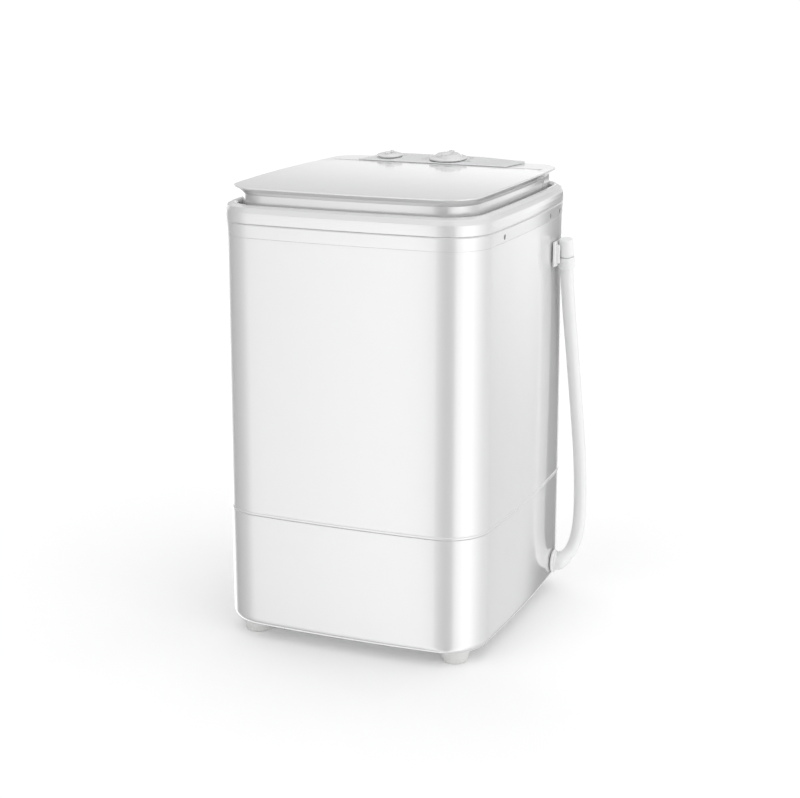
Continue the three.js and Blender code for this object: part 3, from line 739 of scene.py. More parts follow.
class WASHER_OT_stage(bpy.types.Operator):
    """Lays the pale floor, lights it softly and sets up the camera"""

    bl_idname = "washer.stage"
    bl_label = "Stage"

    LOOK_AT = (0.2102, -0.5082, 0.435)  # the point the camera turns round
    LENS = 78.4485
    SENSOR = 36.0
    FLOOR_REACH = 60000.0
    FLOOR_Z = -0.2

    # Brightness of the studio seen level all round: front 0, right side 90, back 180 degrees.
    ROUND = [
        (-180, 1.3), (-130, 1.6), (-124, 1.6), (-114, 0.8), (-106, 0.15), (-94, 0.1), (-76, 0.2), (-64, 0.35),
        (-52, 0.75), (-42, 1.25), (-34, 1.65), (-26, 1.95), (-17, 2.25), (-9, 0.95), (4, 0.3), (16, 0.0),
        (30, 0.2), (41, 1.7), (54, 2.4), (66, 2.75), (80, 2.55), (96, 1.75), (112, 1.05), (128, 0.7),
        (150, 0.85), (163, 1.35), (166, 0.0), (170, 0.0), (173, 1.3),
    ]
    BRIGHTEST = 3.0
    LEVEL = 0.36  # brightness of the wall of light at the horizon
    RISE = 1.02  # how much brighter it is overhead
    BEHIND = 0.72  # extra brightness low down behind the machine
    DIM = 0.42  # how much darker the sky is above the dark parts of the surroundings
    SINK = 0.40  # how much of the light behind is lost towards the floor

    def execute(self, context):
        scene = context.scene
        studio = scene.washer_studio
        self.add_world(scene, studio)
        self.add_floor()
        flat = math.cos(studio.camera_elevation)
        back = Vector((
            math.sin(studio.camera_azimuth) * flat,
            -math.cos(studio.camera_azimuth) * flat,
            math.sin(studio.camera_elevation),
        ))
        camera_data = bpy.data.cameras.new("studio_camera")
        camera_data.lens = self.LENS
        camera_data.sensor_width = self.SENSOR
        camera_data.clip_end = 200.0
        camera = link("studio_camera", camera_data)
        camera.location = Vector(self.LOOK_AT) + back * studio.camera_distance
        camera.rotation_euler = (math.pi / 2 - studio.camera_elevation, 0.0, studio.camera_azimuth)
        scene.camera = camera
        scene.view_settings.view_transform = "Standard"
        return {"FINISHED"}

    def add_world(self, scene, studio):
        """A studio of light and dark upright panels that open into one soft sky overhead."""
        world = bpy.data.worlds.new("soft_studio")
        world.use_nodes = True
        scene.world = world
        g = Graph(world.node_tree)
        look = g.add("ShaderNodeTexCoord", output="Generated")
        split = g.add("ShaderNodeSeparateXYZ", {}, {"Vector": look})
        x = Wire(g, split.socket.node.outputs["X"])
        y = Wire(g, split.socket.node.outputs["Y"])
        z = Wire(g, split.socket.node.outputs["Z"])
        azimuth = g.add("ShaderNodeMath", {"operation": "ARCTAN2"}, {0: x, 1: 0 - y})
        stops = [((degrees + 180) / 360, level / self.BRIGHTEST) for degrees, level in self.ROUND]
        stops.append((1.0, stops[0][1]))
        around = g.add("ShaderNodeValToRGB", {"stops": stops}, {"Fac": azimuth / (2 * math.pi) + 0.5})
        behind = self.towards(g, azimuth, 175, 0.70, 0.97)
        rear = self.towards(g, azimuth, -170, 0.20, 0.75)
        beside = self.towards(g, azimuth, -88, 0.60, 0.95)
        glow = (1 - g.ramp_between(z, 0.08, 0.21)) * behind * self.BEHIND
        level = g.add("ShaderNodeSeparateColor", {}, {"Color": around}, "Red") * self.BRIGHTEST
        dim = (1 - g.ramp_between(level, 0.0, 1.1)) * self.DIM
        above = (z * self.RISE + self.LEVEL + glow) * (1 - dim)
        sink = 1 - g.ramp_between(z, -0.30, -0.10)
        level = level * (1 - behind * sink * self.SINK)
        lift = g.ramp_between(z, -0.03, 0.60 + beside * 0.40 - rear * 0.57)
        value = (above * lift + level * (1 - lift)) * studio.light
        colour = g.add("ShaderNodeCombineColor", {}, {"Red": value, "Green": value, "Blue": value * 1.004})
        sky = g.add("ShaderNodeBackground", {}, {"Color": colour, "Strength": 1.0})
        g.add("ShaderNodeOutputWorld", {}, {"Surface": sky})

    def towards(self, g, azimuth, centre, start, end):
        """1 round about one direction, given in degrees, and 0 away from it."""
        near = g.add("ShaderNodeMath", {"operation": "COSINE"}, {0: azimuth - math.radians(centre)})
        return g.ramp_between(near, start, end)

    def add_floor(self):
        corners = [(x * self.FLOOR_REACH, y * self.FLOOR_REACH, self.FLOOR_Z)
                   for x, y in ((-1, -1), (1, -1), (1, 1), (-1, 1))]
        floor = skin("studio_floor", corners, [(0, 1, 2, 3)])
        material = finish_material("pale_floor", (0.97, 0.97, 0.97), 0.9, 0.0, 0.004, 60, 0.01, scuffs=0.0,
                                   **{"Emission Color": (1.0, 1.0, 1.0, 1.0), "Emission Strength": 0.07})
        floor.data.materials.append(material)
        floor.visible_glossy = False


# ---------------------------------------------------------------- drain hose and its fittings


HOSE_ROUTE = [
    (0.1930, 0.1315, 0.0495), (0.1985, 0.1395, 0.0560), (0.2025, 0.1470, 0.0680), (0.2050, 0.1515, 0.0840),
    (0.2060, 0.1540, 0.1020), (0.2062, 0.1548, 0.1220), (0.2058, 0.1549, 0.1450), (0.2050, 0.1542, 0.1720),
    (0.2036, 0.1516, 0.2050), (0.2018, 0.1472, 0.2400), (0.2000, 0.1420, 0.2750), (0.1980, 0.1365, 0.3120),
    (0.1960, 0.1305, 0.3500), (0.1942, 0.1245, 0.3850), (0.1928, 0.1190, 0.4170), (0.1922, 0.1150, 0.4400),
    (0.1920, 0.1115, 0.4600),
]
HOSE_TOP = (192.0, 104.5, 500.0)
ELBOW = {"y": 123.0, "z": 44.0, "radius": 10.6, "end": 10.9, "reach": 12.0}


def along_hose_top():
    """The frame at the hose's upper end, its Z axis along the cap."""
    end = Vector(HOSE_ROUTE[-1]) / MM
    rise = Vector(HOSE_TOP) - end
    return Matrix.Translation(end) @ rise.to_track_quat("Z", "Y").to_matrix().to_4x4()


class WASHER_OT_drain_hose(bpy.types.Operator):
    """Makes the drain hose, clipped upright behind the right side, with its collar, cap, clip and elbow"""

    bl_idname = "washer.drain_hose"
    bl_label = "Drain hose"

    def execute(self, context):
        finish = finishes(context)["hose_white"]
        fittings = [self.collar(), self.cap(), self.clip(), self.elbow()]
        names = ["hose_collar", "hose_cap", "hose_clip", "drain_elbow"]
        for obj, node in zip(fittings, names):
            complete(obj, "root", finish, [node])
        line = smooth_line([Vector(p) / MM for p in HOSE_ROUTE], 180)
        radius = millimetres(context.scene.washer_sizes.hose_diameter) / 2
        hose = tube("drain_hose_tube", line, lambda s: radius, 36)
        complete(hose, "root", finish, ["drain_hose"])
        path = [list(p * MM) for p in line]
        return {"FINISHED"}

    def collar(self):
        profile = [
            (0, 0.6), (10.4, 0.6), (11.0, 1.6), (11.0, 5.2), (10.5, 5.9), (10.5, 11.2), (11.0, 11.9),
            (11.0, 15.2), (10.5, 16.4), (0, 16.4),
        ]
        return turned("hose_collar_ring", rounded(profile, 0.5, 3, False), 56, along_hose_top())

    def cap(self):
        profile = [
            (0, 16.8), (9.6, 16.8), (9.6, 18.0), (10.4, 18.6), (10.4, 20.6), (10.0, 21.4), (9.6, 36.0),
            (9.3, 39.4), (8.2, 40.6), (0, 40.6),
        ]
        return turned("hose_cap_plug", rounded(profile, 1.4, 4, False), 56, along_hose_top())

    def clip(self):
        plate = block("hose_clip_bracket", 179.2, 182.4, 88, 124, 464, 497, 1.0)
        arms = [
            block("arm_front", 180, 187, 92.4, 97, 468, 493, 1.2, 3),
            block("arm_rear", 180, 197, 117.6, 122.2, 464, 483, 1.2, 3),
        ]
        weld(plate, *arms)
        return cut(plate, rod("hose_room", 11.6, -20, 60, along_hose_top(), 64))

    def elbow(self):
        """A flange on the plinth's wall and a neck that turns up into the hose."""
        start = Vector(HOSE_ROUTE[0]) / MM
        leaving = (Vector(HOSE_ROUTE[1]) - Vector(HOSE_ROUTE[0])).normalized()
        turn = start - leaving * ELBOW["reach"]
        flat = sideways(ELBOW["y"], ELBOW["z"])
        flange = rod("drain_elbow_fitting", 16, 179, 182, flat, 56, 0.8)
        weld(flange, rod("lip", 13, 181, 184.4, flat, 56, 0.7))
        bend = [Vector((x, ELBOW["y"], ELBOW["z"])) for x in (164, 172, 180)]
        bend += [turn - Vector((1, 0.4, 0)), start - leaving * 6, start - leaving * 0.6]
        neck = tube("neck", smooth_line(bend, 28), lambda s: ELBOW["radius"] if s < 0.78 else ELBOW["end"], 48)
        return weld(flange, neck)


# ---------------------------------------------------------------- cabinet


FEET = [(x, y) for x in (-138, 138) for y in (-153, 153)]
GLAND = (-140, 90)
WALL = 2.4
RIM_Z = 543.6  # the joint of the top frame and the bezel
BEZEL_TOP = 565.4
JOINT_GAP = 0.3


class WASHER_OT_base_plinth(bpy.types.Operator):
    """Moulds the plinth: a ring with a rolled lower edge, a floor flange and holes for feet, drain and gland"""

    bl_idname = "washer.base_plinth"
    bl_label = "Base plinth"

    def execute(self, context):
        seam = millimetres(context.scene.washer_sizes.seam_height)
        bottom, fillet, flange = 18.0, 11.0, 74.0
        roll = [
            (-fillet * (1 - math.cos(t)), bottom + fillet * (1 - math.sin(t)))
            for t in [math.radians(90 - 10 * i) for i in range(10)]
        ]
        top = rounded([(0, seam - 30), (0, seam), (-14, seam)], 1.0, 4, False)[1:-1]
        profile = [(-flange, bottom), *roll, *top, (-14, seam), (-14, seam - WALL), (-WALL, seam - WALL),
                   (-WALL, bottom + fillet), (-fillet, bottom + 3), (-flange, bottom + 3)]
        plinth = sweep("base_plinth_skin", profile, cabinet_shape())
        holes = [rod("hole", 4.8, 10, 30, Matrix.Translation((x, y, 0)), 32) for x, y in FEET]
        holes.append(block("hole", -96, 96, 174, 204, 46, 146))
        holes.append(rod("hole", 9, 168, 200, backwards(*GLAND), 40))
        holes.append(rod("hole", 12, 165, 200, sideways(ELBOW["y"], ELBOW["z"]), 48))
        cut(plinth, *holes)
        complete(plinth, "root", finishes(context)["gloss_white"], ["base_plinth"])
        return {"FINISHED"}


class WASHER_OT_cabinet(bpy.types.Operator):
    """Forms the cabinet wall with the small bead that stands over the plinth"""

    bl_idname = "washer.cabinet"
    bl_label = "Cabinet"

    def execute(self, context):
        sizes = context.scene.washer_sizes
        low = millimetres(sizes.seam_height) + JOINT_GAP
        high = millimetres(sizes.band_height) - 0.05
        bead = rounded(
            [(-13, low), (0.4, low), (0.9, low + 0.9), (0.9, low + 2.5), (0, low + 3.6), (-0.2, low + 60)],
            millimetres(sizes.edge_round), 4, False,
        )[:-1]
        top = rounded([(-0.9, high - 60), (-1.4, high), (-12, high)], 0.15, 2, False)[1:]
        profile = [*bead, (-0.02, low + 6), *top, (-12, high - WALL), (-1.4 - WALL, high - WALL),
                   (-WALL, low + WALL), (-13, low + WALL)]
        cabinet = sweep("cabinet_skin", profile, cabinet_shape())
        complete(cabinet, "root", finishes(context)["gloss_white"], ["cabinet_shell"])
        return {"FINISHED"}


class WASHER_OT_top_frame(bpy.types.Operator):
    """Makes the band under the rim with its deck, mouth and screw pits"""

    bl_idname = "washer.top_frame"
    bl_label = "Top frame"

    SCREWS = (-99.0, 80.0, 124.0)
    SCREW_Z = 533.0

    def execute(self, context):
        band = millimetres(context.scene.washer_sizes.band_height)
        shape = cabinet_shape()
        high = RIM_Z - JOINT_GAP
        corners = [(-3.4, band), (-1.0, band), (-0.4, RIM_Z - 2), (-1.4, high), (-3.4, high)]
        outer = rounded(corners, 0.5, 4, False)
        top = sweep("top_frame_skin", outer, shape)
        deck = sweep("deck", [(-2, 537), (-2, 540)], shape, closed=False)
        mouth = sweep("mouth", [(4, 530), (4, 545)], TUB, closed=False)
        cut(deck, mouth, block("wires", -100, 60, 140, 176, 530, 545))
        weld(top, deck)
        for y in self.SCREWS:
            for start, end in ((165, 190), (-190, -165)):
                cut(top, rod("pit", 3.5, start, end, sideways(y, self.SCREW_Z), 32))
        complete(top, "root", finishes(context)["gloss_white"], ["top_frame"])
        self.side_screws(context)
        return {"FINISHED"}

    def screw_top(self, y):
        """Where a screw's head ends, so that it stays below the bowed and rounded wall."""
        shape = cabinet_shape()
        straight = shape["b"] - shape["r"]
        past = max(y - straight, 0)
        return shape["a"] - 3 - shape["bow"] * min(y / straight, 1) ** 2 - past**2 / (2 * shape["r"])

    def side_screws(self, context):
        screw = rod("screw", 3.0, -9, 0, None, 28, 0.4)
        cut(screw, *cross_slots(2.1, 0.4, -1.2, 1))
        rows = []
        for side in (-1, 1):
            for i, y in enumerate(self.SCREWS):
                rows.append(((side * self.screw_top(y), y, self.SCREW_Z), (0.3 * i, side * math.pi / 2, 0)))
        spots = points_with_turns("side_screws", rows)
        screws = repeat("side_screws", "chosen", screw, finishes(context)["dark_metal"], spots)
        names = [f"frame_screw_{side}_{i}" for side in ("left", "right") for i in (1, 2, 3)]
        complete(screws, "root", None, names)


class WASHER_OT_bezel(bpy.types.Operator):
    """Makes the rounded rim that stands round the lid"""

    bl_idname = "washer.bezel"
    bl_label = "Bezel"

    def execute(self, context):
        low, top = RIM_Z, BEZEL_TOP
        outer = rounded(
            [(-28, low), (0.2, low), (0.2, low + 8), (-0.4, low + 13.4), (-3.6, top - 2.6), (-9.0, top),
             (-13.6, top), (-15.2, top - 3.4), (-15.4, low + 2.4)],
            3.6, 6, False,
        )
        foot = rounded([(-28, low), (0.2, low), (0.2, low + 3)], 0.8, 4, False)[:-1]
        above = [p for p in outer if p[1] > low + 3.3][:-1]
        profile = [*foot, *above, (-15.4, low + 2.4), (-28, low + 2.4)]
        rim = sweep("bezel_skin", profile, cabinet_shape())
        complete(rim, "root", finishes(context)["gloss_white"], ["bezel_ring"])
        return {"FINISHED"}


# ---------------------------------------------------------------- lid and console


HINGE = {"y": 121.0, "z": 581.0, "radius": 5.0}
CROWN = 1.3  # how far the middle of the lid's top stands above its front and its hinge edge
CROWN_Y = -33.0  # where the arch is highest
CROWN_REACH = 147.0  # from there to where it has run out
WALL_EASE = 14.0  # how much larger the wall's corner radius is than the brim's
SLAB_WALL, SLAB_BRIM = -20.4, -13.6
EAR_X = 150.0  # the console's ears, which carry the hinge, stand outside this
EAR_FRONT = 108.5
CONSOLE_FRONT = 126.6
LID_WALL_LOW = 551.6
PIN_BORE = 2.35


def wall_ease(z):
    return WALL_EASE


def slab(name, top):
    """The flared slab that both the lid and the console are cut from."""
    wall, brim = SLAB_WALL, SLAB_BRIM
    flare = rounded(
        [(wall - 0.6, 546.4), (wall, 568), (wall, top - 10.2), (wall + 1.8, top - 6.0), (brim - 1.4, top - 2.6),
         (brim, top - 1.1), (brim - 0.5, top), (brim - 4, top)],
        3.0, 6, False,
    )
    inwards = [(brim - 4 - step, top) for step in (8, 20, 36, 56, 80, 104, 128, 144, 154)]
    profile = [*flare, *inwards]
    obj = sweep(name, profile, slab_shape(), False, lambda z: WALL_EASE * min(max((top - 2 - z) / 8, 0), 1))
    for vertex in obj.data.vertices:
        share = min(max((vertex.co.z / MM - top + 6) / 6, 0), 1)
        along = (vertex.co.y / MM - CROWN_Y) / CROWN_REACH
        vertex.co.z += CROWN * MM * share * max(0, 1 - along**2)
    return obj


def slab_hollow(top):
    """The room under the slab."""
    return sweep("hollow", [(-23.0, 541.4), (-22.8, top - 2.4)], slab_shape(), False, wall_ease)


def lid_region(inset=0.0):
    """All the room that belongs to the lid, drawn in from the parting line by inset."""
    front, rear, side = EAR_FRONT - 1 - inset, CONSOLE_FRONT - 0.6 - inset, EAR_X - 0.3 - inset
    plan = [(-200, -220), (200, -220), (200, front), (side, front), (side, rear), (-side, rear), (-side, front),
            (-200, front)]
    return prism("region", plan, LID_WALL_LOW, 640)


def console_region(inset=0.0):
    """All the room that belongs to the console, drawn in from the parting line by inset."""
    main = block("region", -200, 200, CONSOLE_FRONT + inset, 220, 500, 640)
    near = EAR_X + 0.3 + inset
    ears = [
        block("ear", near, 200, EAR_FRONT + inset, 200, LID_WALL_LOW, 640),
        block("ear", -200, -near, EAR_FRONT + inset, 200, LID_WALL_LOW, 640),
    ]
    return weld(main, *ears)


class WASHER_OT_lid(bpy.types.Operator):
    """Makes the flared lid with its hinge barrels and the ribbed liner under it"""

    bl_idname = "washer.lid"
    bl_label = "Lid"

    def execute(self, context):
        top = millimetres(context.scene.washer_sizes.lid_height)
        paint = finishes(context)
        lid = keep(slab("lid_cover", top), lid_region())
        y, z, radius = HINGE["y"], HINGE["z"], HINGE["radius"]
        turns = [math.pi / 16 * i for i in range(9)]
        arc = [(y + radius * math.cos(turn), z + radius * math.sin(turn)) for turn in turns]
        cut(lid, prism("edge", [*arc, (y, 640), (y + 8, 640), (y + 8, z)], -160, 160, "x"))
        cut(lid, keep(slab_hollow(top), lid_region(2.2)))
        line = sideways(y, z)
        weld(lid, *[rod("barrel", 4.9, a, b, line, 40) for a, b in ((118, 149.7), (-149.7, -118))])
        cut(lid, *[rod("pin", PIN_BORE, a, b, line, 32) for a, b in ((136, 160), (-160, -136))])
        complete(lid, "lid", paint["gloss_white"], ["lid_panel"])

        plate = sweep("lid_liner", [(-23.6, 553), (-23.6, 555)], slab_shape(), False, wall_ease)
        keep(plate, lid_region(2.6))
        rib = block("rib", -1.0, 1.0, -96, 70, 552.1, 553.4, 0.4)
        ribs = repeat(
            "ribs", "row", rib, paint["satin_white"], count=9,
            start=(-108 * MM, 0, 0), step=(27 * MM, 0, 0),
        )
        weld(plate, ribs)
        complete(plate, "lid", paint["satin_white"], ["lid_inner"])
        return {"FINISHED"}


PANEL = {"left": -118.0, "right": 110.0, "front": 128.0, "back": 182.0, "front_z": 587.6, "back_z": 591.6}
TIMER = (6.0, 156.0)
SELECTOR = (-80.0, 156.0)


def panel_z(y):
    p = PANEL
    return p["front_z"] + (y - p["front"]) * (p["back_z"] - p["front_z"]) / (p["back"] - p["front"])


def on_panel(x, y, rise=0.0):
    """A frame on the sloping fascia, its Z axis square to it."""
    tilt = math.atan2(PANEL["back_z"] - PANEL["front_z"], PANEL["back"] - PANEL["front"])
    return Matrix.Translation((x, y, panel_z(y) + rise)) @ Matrix.Rotation(tilt, 4, "X")


class WASHER_OT_console(bpy.types.Operator):
    """Makes the console along the rear edge and the raised fascia on it"""

    bl_idname = "washer.console"
    bl_label = "Console"

    def execute(self, context):
        top = millimetres(context.scene.washer_sizes.lid_height)
        paint = finishes(context)
        shell = keep(slab("console_cover", top), console_region())
        cut(shell, keep(slab_hollow(top), console_region(2.4)))
        ears = [block("ear", a, b, 109.5, 132.6, 570, 585) for a, b in ((150.4, 158), (-158, -150.4))]
        weld(shell, *ears)
        line = sideways(HINGE["y"], HINGE["z"])
        cut(shell, *[rod("pin", PIN_BORE, a, b, line, 32) for a, b in ((146, 157), (-157, -146))])
        for x, y in (TIMER, SELECTOR):
            cut(shell, rod("shaft_hole", 8, 570, 600, Matrix.Translation((x, y, 0)), 40))
        complete(shell, "root", paint["gloss_white"], ["console_housing"])
        self.fascia(context, paint)
        return {"FINISHED"}

    def fascia(self, context, paint):
        plate = self.fascia_plate()
        soften(plate, 0.6, 4, lambda points: all(q[2] > 587 for q in points) or points[0][2] != points[1][2])
        for x, y in (TIMER, SELECTOR):
            cut(plate, rod("shaft_hole", 5.2, 575, 610, Matrix.Translation((x, y, 0)), 40))
        complete(plate, "root", paint["panel_white"], ["control_panel"])
        self.marks(paint["ink"])

    def fascia_plate(self):
        """A low wedge, highest behind the timer and running out to thin ends."""
        p = PANEL
        low = 586.3
        left, right, front, back = p["left"], p["right"], p["front"], p["back"]
        plan = rounded([(left, front), (right - 11, front), (right, back), (left + 14, back)], 3.0, 5)
        columns, rows = 48, 14
        points, faces = [], []
        for j in range(rows + 1):
            v = j / rows
            y = front + (back - front) * v
            x0, x1 = self.span(plan, y)
            for i in range(columns + 1):
                x = x0 + (x1 - x0) * i / columns
                points.append((x, y, p["front_z"] + (p["back_z"] - p["front_z"]) * v * self.rise(x)))
        total = len(points)
        points += [(x, y, low) for x, y, _ in points]
        for j in range(rows):
            for i in range(columns):
                a = j * (columns + 1) + i
                quad = (a, a + 1, a + columns + 2, a + columns + 1)
                faces += [quad, tuple(total + k for k in reversed(quad))]
        edge = list(range(columns))
        edge += [j * (columns + 1) + columns for j in range(rows)]
        edge += [rows * (columns + 1) + i for i in range(columns, 0, -1)]
        edge += [j * (columns + 1) for j in range(rows, 0, -1)]
        faces += [(a, b, b + total, a + total) for a, b in zip(edge, edge[1:] + edge[:1])]
        return skin("control_fascia", points, faces)

    THIN = 0.36  # share of the full height that is left at the ends
    SWELL = (-112, -86)  # where along the fascia it rises to its full height
    FALL = (36, 106)  # and where it runs out again

    def rise(self, x):
        """Share of the full height reached at this place along the fascia."""
        def smooth(start, end):
            t = min(max((x - start) / (end - start), 0.0), 1.0)
            return t * t * (3 - 2 * t)

        return self.THIN + (1 - self.THIN) * smooth(*self.SWELL) * (1 - smooth(*self.FALL))

    def span(self, plan, y):
        """Left and right ends of the plan at this y."""
        y = min(max(y, PANEL["front"] + 0.001), PANEL["back"] - 0.001)
        hits = []
        for (ax, ay), (bx, by) in zip(plan, plan[1:] + plan[:1]):
            if (ay - y) * (by - y) < 0:
                hits.append(ax + (bx - ax) * (y - ay) / (by - ay))
        return min(hits), max(hits)

    def marks(self, ink):
        """Printed scales: minutes round the timer, two positions at the selector."""
        parts = []
        for i, (place, radius, first, step, count, length, width) in enumerate([
            (TIMER, 29.5, 200, -11, 21, 2.4, 0.5),
            (SELECTOR, 20.4, 150, -30, 5, 2.6, 0.7),
        ]):
            tick = block("tick", 0, length, -width / 2, width / 2, -0.1, 0.12)
            ticks = repeat(
                f"ticks_{i}", "dial", tick, ink, count=count, radius=radius * MM,
                first_angle=math.radians(first), step_angle=math.radians(step),
            )
            move(ticks, on_panel(*place))
            parts.append(ticks)
        for text, angle in (("0", 200), ("5", 145), ("10", 90), ("15", 35), ("20", -20)):
            parts.append(self.number(text, angle))
        marks = gather(*parts)
        marks.name = "dial_marks"
        complete(marks, "root", ink)

    NUMBER_RING = (35.5, 25.56)  # half width and half depth of the oval that the numbers stand on
    NUMBER_SIZE = 4.6

    def number(self, text, degrees):
        """A number beside the timer, as a thin plate."""
        curve = bpy.data.curves.new("number", "FONT")
        curve.body = text
        curve.size = self.NUMBER_SIZE * MM
        curve.extrude = 0.11 * MM
        curve.resolution_u = 3
        curve.align_x = "CENTER"
        curve.align_y = "CENTER"
        letters = link("number", curve)
        bpy.context.view_layer.update()
        mesh = bpy.data.meshes.new_from_object(letters.evaluated_get(bpy.context.evaluated_depsgraph_get()))
        discard(letters)
        obj = link("number", mesh)
        angle = math.radians(degrees)
        across, deep = self.NUMBER_RING
        offset = Matrix.Translation((across * math.cos(angle), deep * math.sin(angle), 0))
        move(obj, on_panel(*TIMER) @ offset)
        close_up(obj)
        return obj


class WASHER_OT_knobs(bpy.types.Operator):
    """Turns the two control knobs: a flat skirt, a tapered body and a finger grip"""

    bl_idname = "washer.knobs"
    bl_label = "Knobs"

    def execute(self, context):
        paint = finishes(context)["gloss_white"]
        rows = [
            ("timer_dial_knob", "timer_dial", "timer_knob", TIMER, 26.0, 6.6, 8.0),
            ("selector_dial_knob", "selector_dial", "selector_knob", SELECTOR, 18.0, 3.8, 5.0),
        ]
        for name, body, node, place, radius, height, grip in rows:
            knob = self.knob(name, radius, height, grip)
            move(knob, on_panel(*place, rise=0.6))
            complete(knob, body, paint, [node])
        return {"FINISHED"}

    def knob(self, name, radius, height, grip_width):
        profile = [
            (0, 0), (radius, 0), (radius, 1.7), (radius - 1.5, 2.7), (radius * 0.74, 3.2), (radius * 0.70, 4.0),
            (radius * 0.64, height - 0.8), (radius * 0.6, height), (0, height),
        ]
        knob = turned(name, rounded(profile, 0.8, 4, False), 96)
        half = radius * 0.62
        bar = block("grip", -grip_width / 2, grip_width / 2, -half, half, 2, height + 2.2)
        soften(bar, min(1.3, grip_width / 4), 4)
        weld(knob, bar)
        notch = block("pointer", -0.5, 0.5, half * 0.45, half * 0.9, height + 1.7, height + 3)
        cut(knob, notch, rod("bore", 3.3, -1, 4.6, None, 32))
        return knob


# ---------------------------------------------------------------- feet, rear cover, gland


class WASHER_OT_feet(bpy.types.Operator):
    """Moulds the four tapered rubber feet with their grip ribs and studs"""

    bl_idname = "washer.feet"
    bl_label = "Feet"

    def execute(self, context):
        profile = [(0, 0), (15.6, 0), (16.6, 0.9), (17.2, 4.2), (17.0, 5.2), (17.6, 6.4), (20.5, 16.4),
                   (20.2, 17.7), (4.2, 17.7), (4.2, 30), (0, 30)]
        foot = turned("foot", rounded(profile, 0.9, 3, False), 48)
        rib = block("rib", -1.2, 0.9, -0.7, 0.7, 0.8, 4.6, 0.3)
        paint = finishes(context)["foot_plastic"]
        ribs = repeat("ribs", "dial", rib, paint, count=24, radius=16.5 * MM, first_angle=0.0,
                      step_angle=2 * math.pi / 24)
        weld(foot, ribs)
        rows = [((x, y, 0), (0, 0, 0)) for x, y in FEET]
        feet = repeat("cabinet_feet", "chosen", foot, paint, points_with_turns("cabinet_feet", rows))
        nodes = ["foot_front_left", "foot_rear_left", "foot_front_right", "foot_rear_right"]
        complete(feet, "root", None, nodes)
        return {"FINISHED"}


class WASHER_OT_rear_cover(bpy.types.Operator):
    """Makes the service cover at the back with its hooded louvres and screws, and the gland beside it"""

    bl_idname = "washer.rear_cover"
    bl_label = "Rear cover"

    COVER_FACE = 195.2

    def execute(self, context):
        paint = finishes(context)
        profile = rounded([(0.3, 40), (2.3, 40), (2.3, 152), (0.3, 152)], 0.6, 3)
        cover = sweep("rear_service_cover", profile, cabinet_shape())
        keep(cover, block("middle", -104, 104, 100, 220, 30, 160))
        slot = block("slot", -60, 60, 174, 204, 62, 66)
        hood_side = [(195.4, 66.6), (195.4, 70.0), (197.0, 69.0), (199.2, 65.6), (199.4, 63.4), (198.8, 63.4),
                     (198.4, 65.0), (196.8, 66.8)]
        hood = prism("hood", hood_side, -60, 60, "x")
        row = {"count": 6, "start": (0, 0, 0), "step": (0, 0, 12 * MM)}
        slots, hoods = [repeat("louvres", "row", shape, paint["satin_white"], **row) for shape in (slot, hood)]
        cut(cover, slots)
        gather(cover, hoods)
        complete(cover, "root", paint["satin_white"], ["rear_cover"])

        head = rod("head", 3.4, -0.4, 1.5, None, 28, 0.5)
        cut(head, *cross_slots(2.2, 0.4, 0.7, 3))
        rows = [((x, self.COVER_FACE, z), (-math.pi / 2, 0, 0)) for x in (-96, 96) for z in (48, 144)]
        spots = points_with_turns("cover_screws", rows)
        screws = repeat("cover_screws", "chosen", head, paint["bright_steel"], spots)
        complete(screws, "root", None)

        profile = [(0, 178), (8.4, 178), (8.4, 191.3), (13, 191.3), (13, 194.6), (12.2, 195.6), (9.0, 195.6),
                   (8.0, 196.4), (4.0, 196.4), (3.6, 186), (0, 186)]
        gland = turned("cord_gland_bush", rounded(profile, 0.5, 3, False), 48, backwards(*GLAND))
        complete(gland, "root", paint["grey_plastic"], ["power_cord_gland"])
        return {"FINISHED"}


# ---------------------------------------------------------------- tub and pulsator


DRAIN = (92, 66)
TUB_MIDDLE = Matrix.Translation((0, TUB["cy"], 0))


def ring_of_holes(obj, paint, hole, count, radius, first, step):
    """Cuts holes on an arc about the origin; the angles are in radians. The hole's shape is used up."""
    sizes = {"count": count, "radius": radius * MM, "first_angle": first, "step_angle": step}
    cut(obj, repeat("holes", "dial", hole, paint, **sizes))


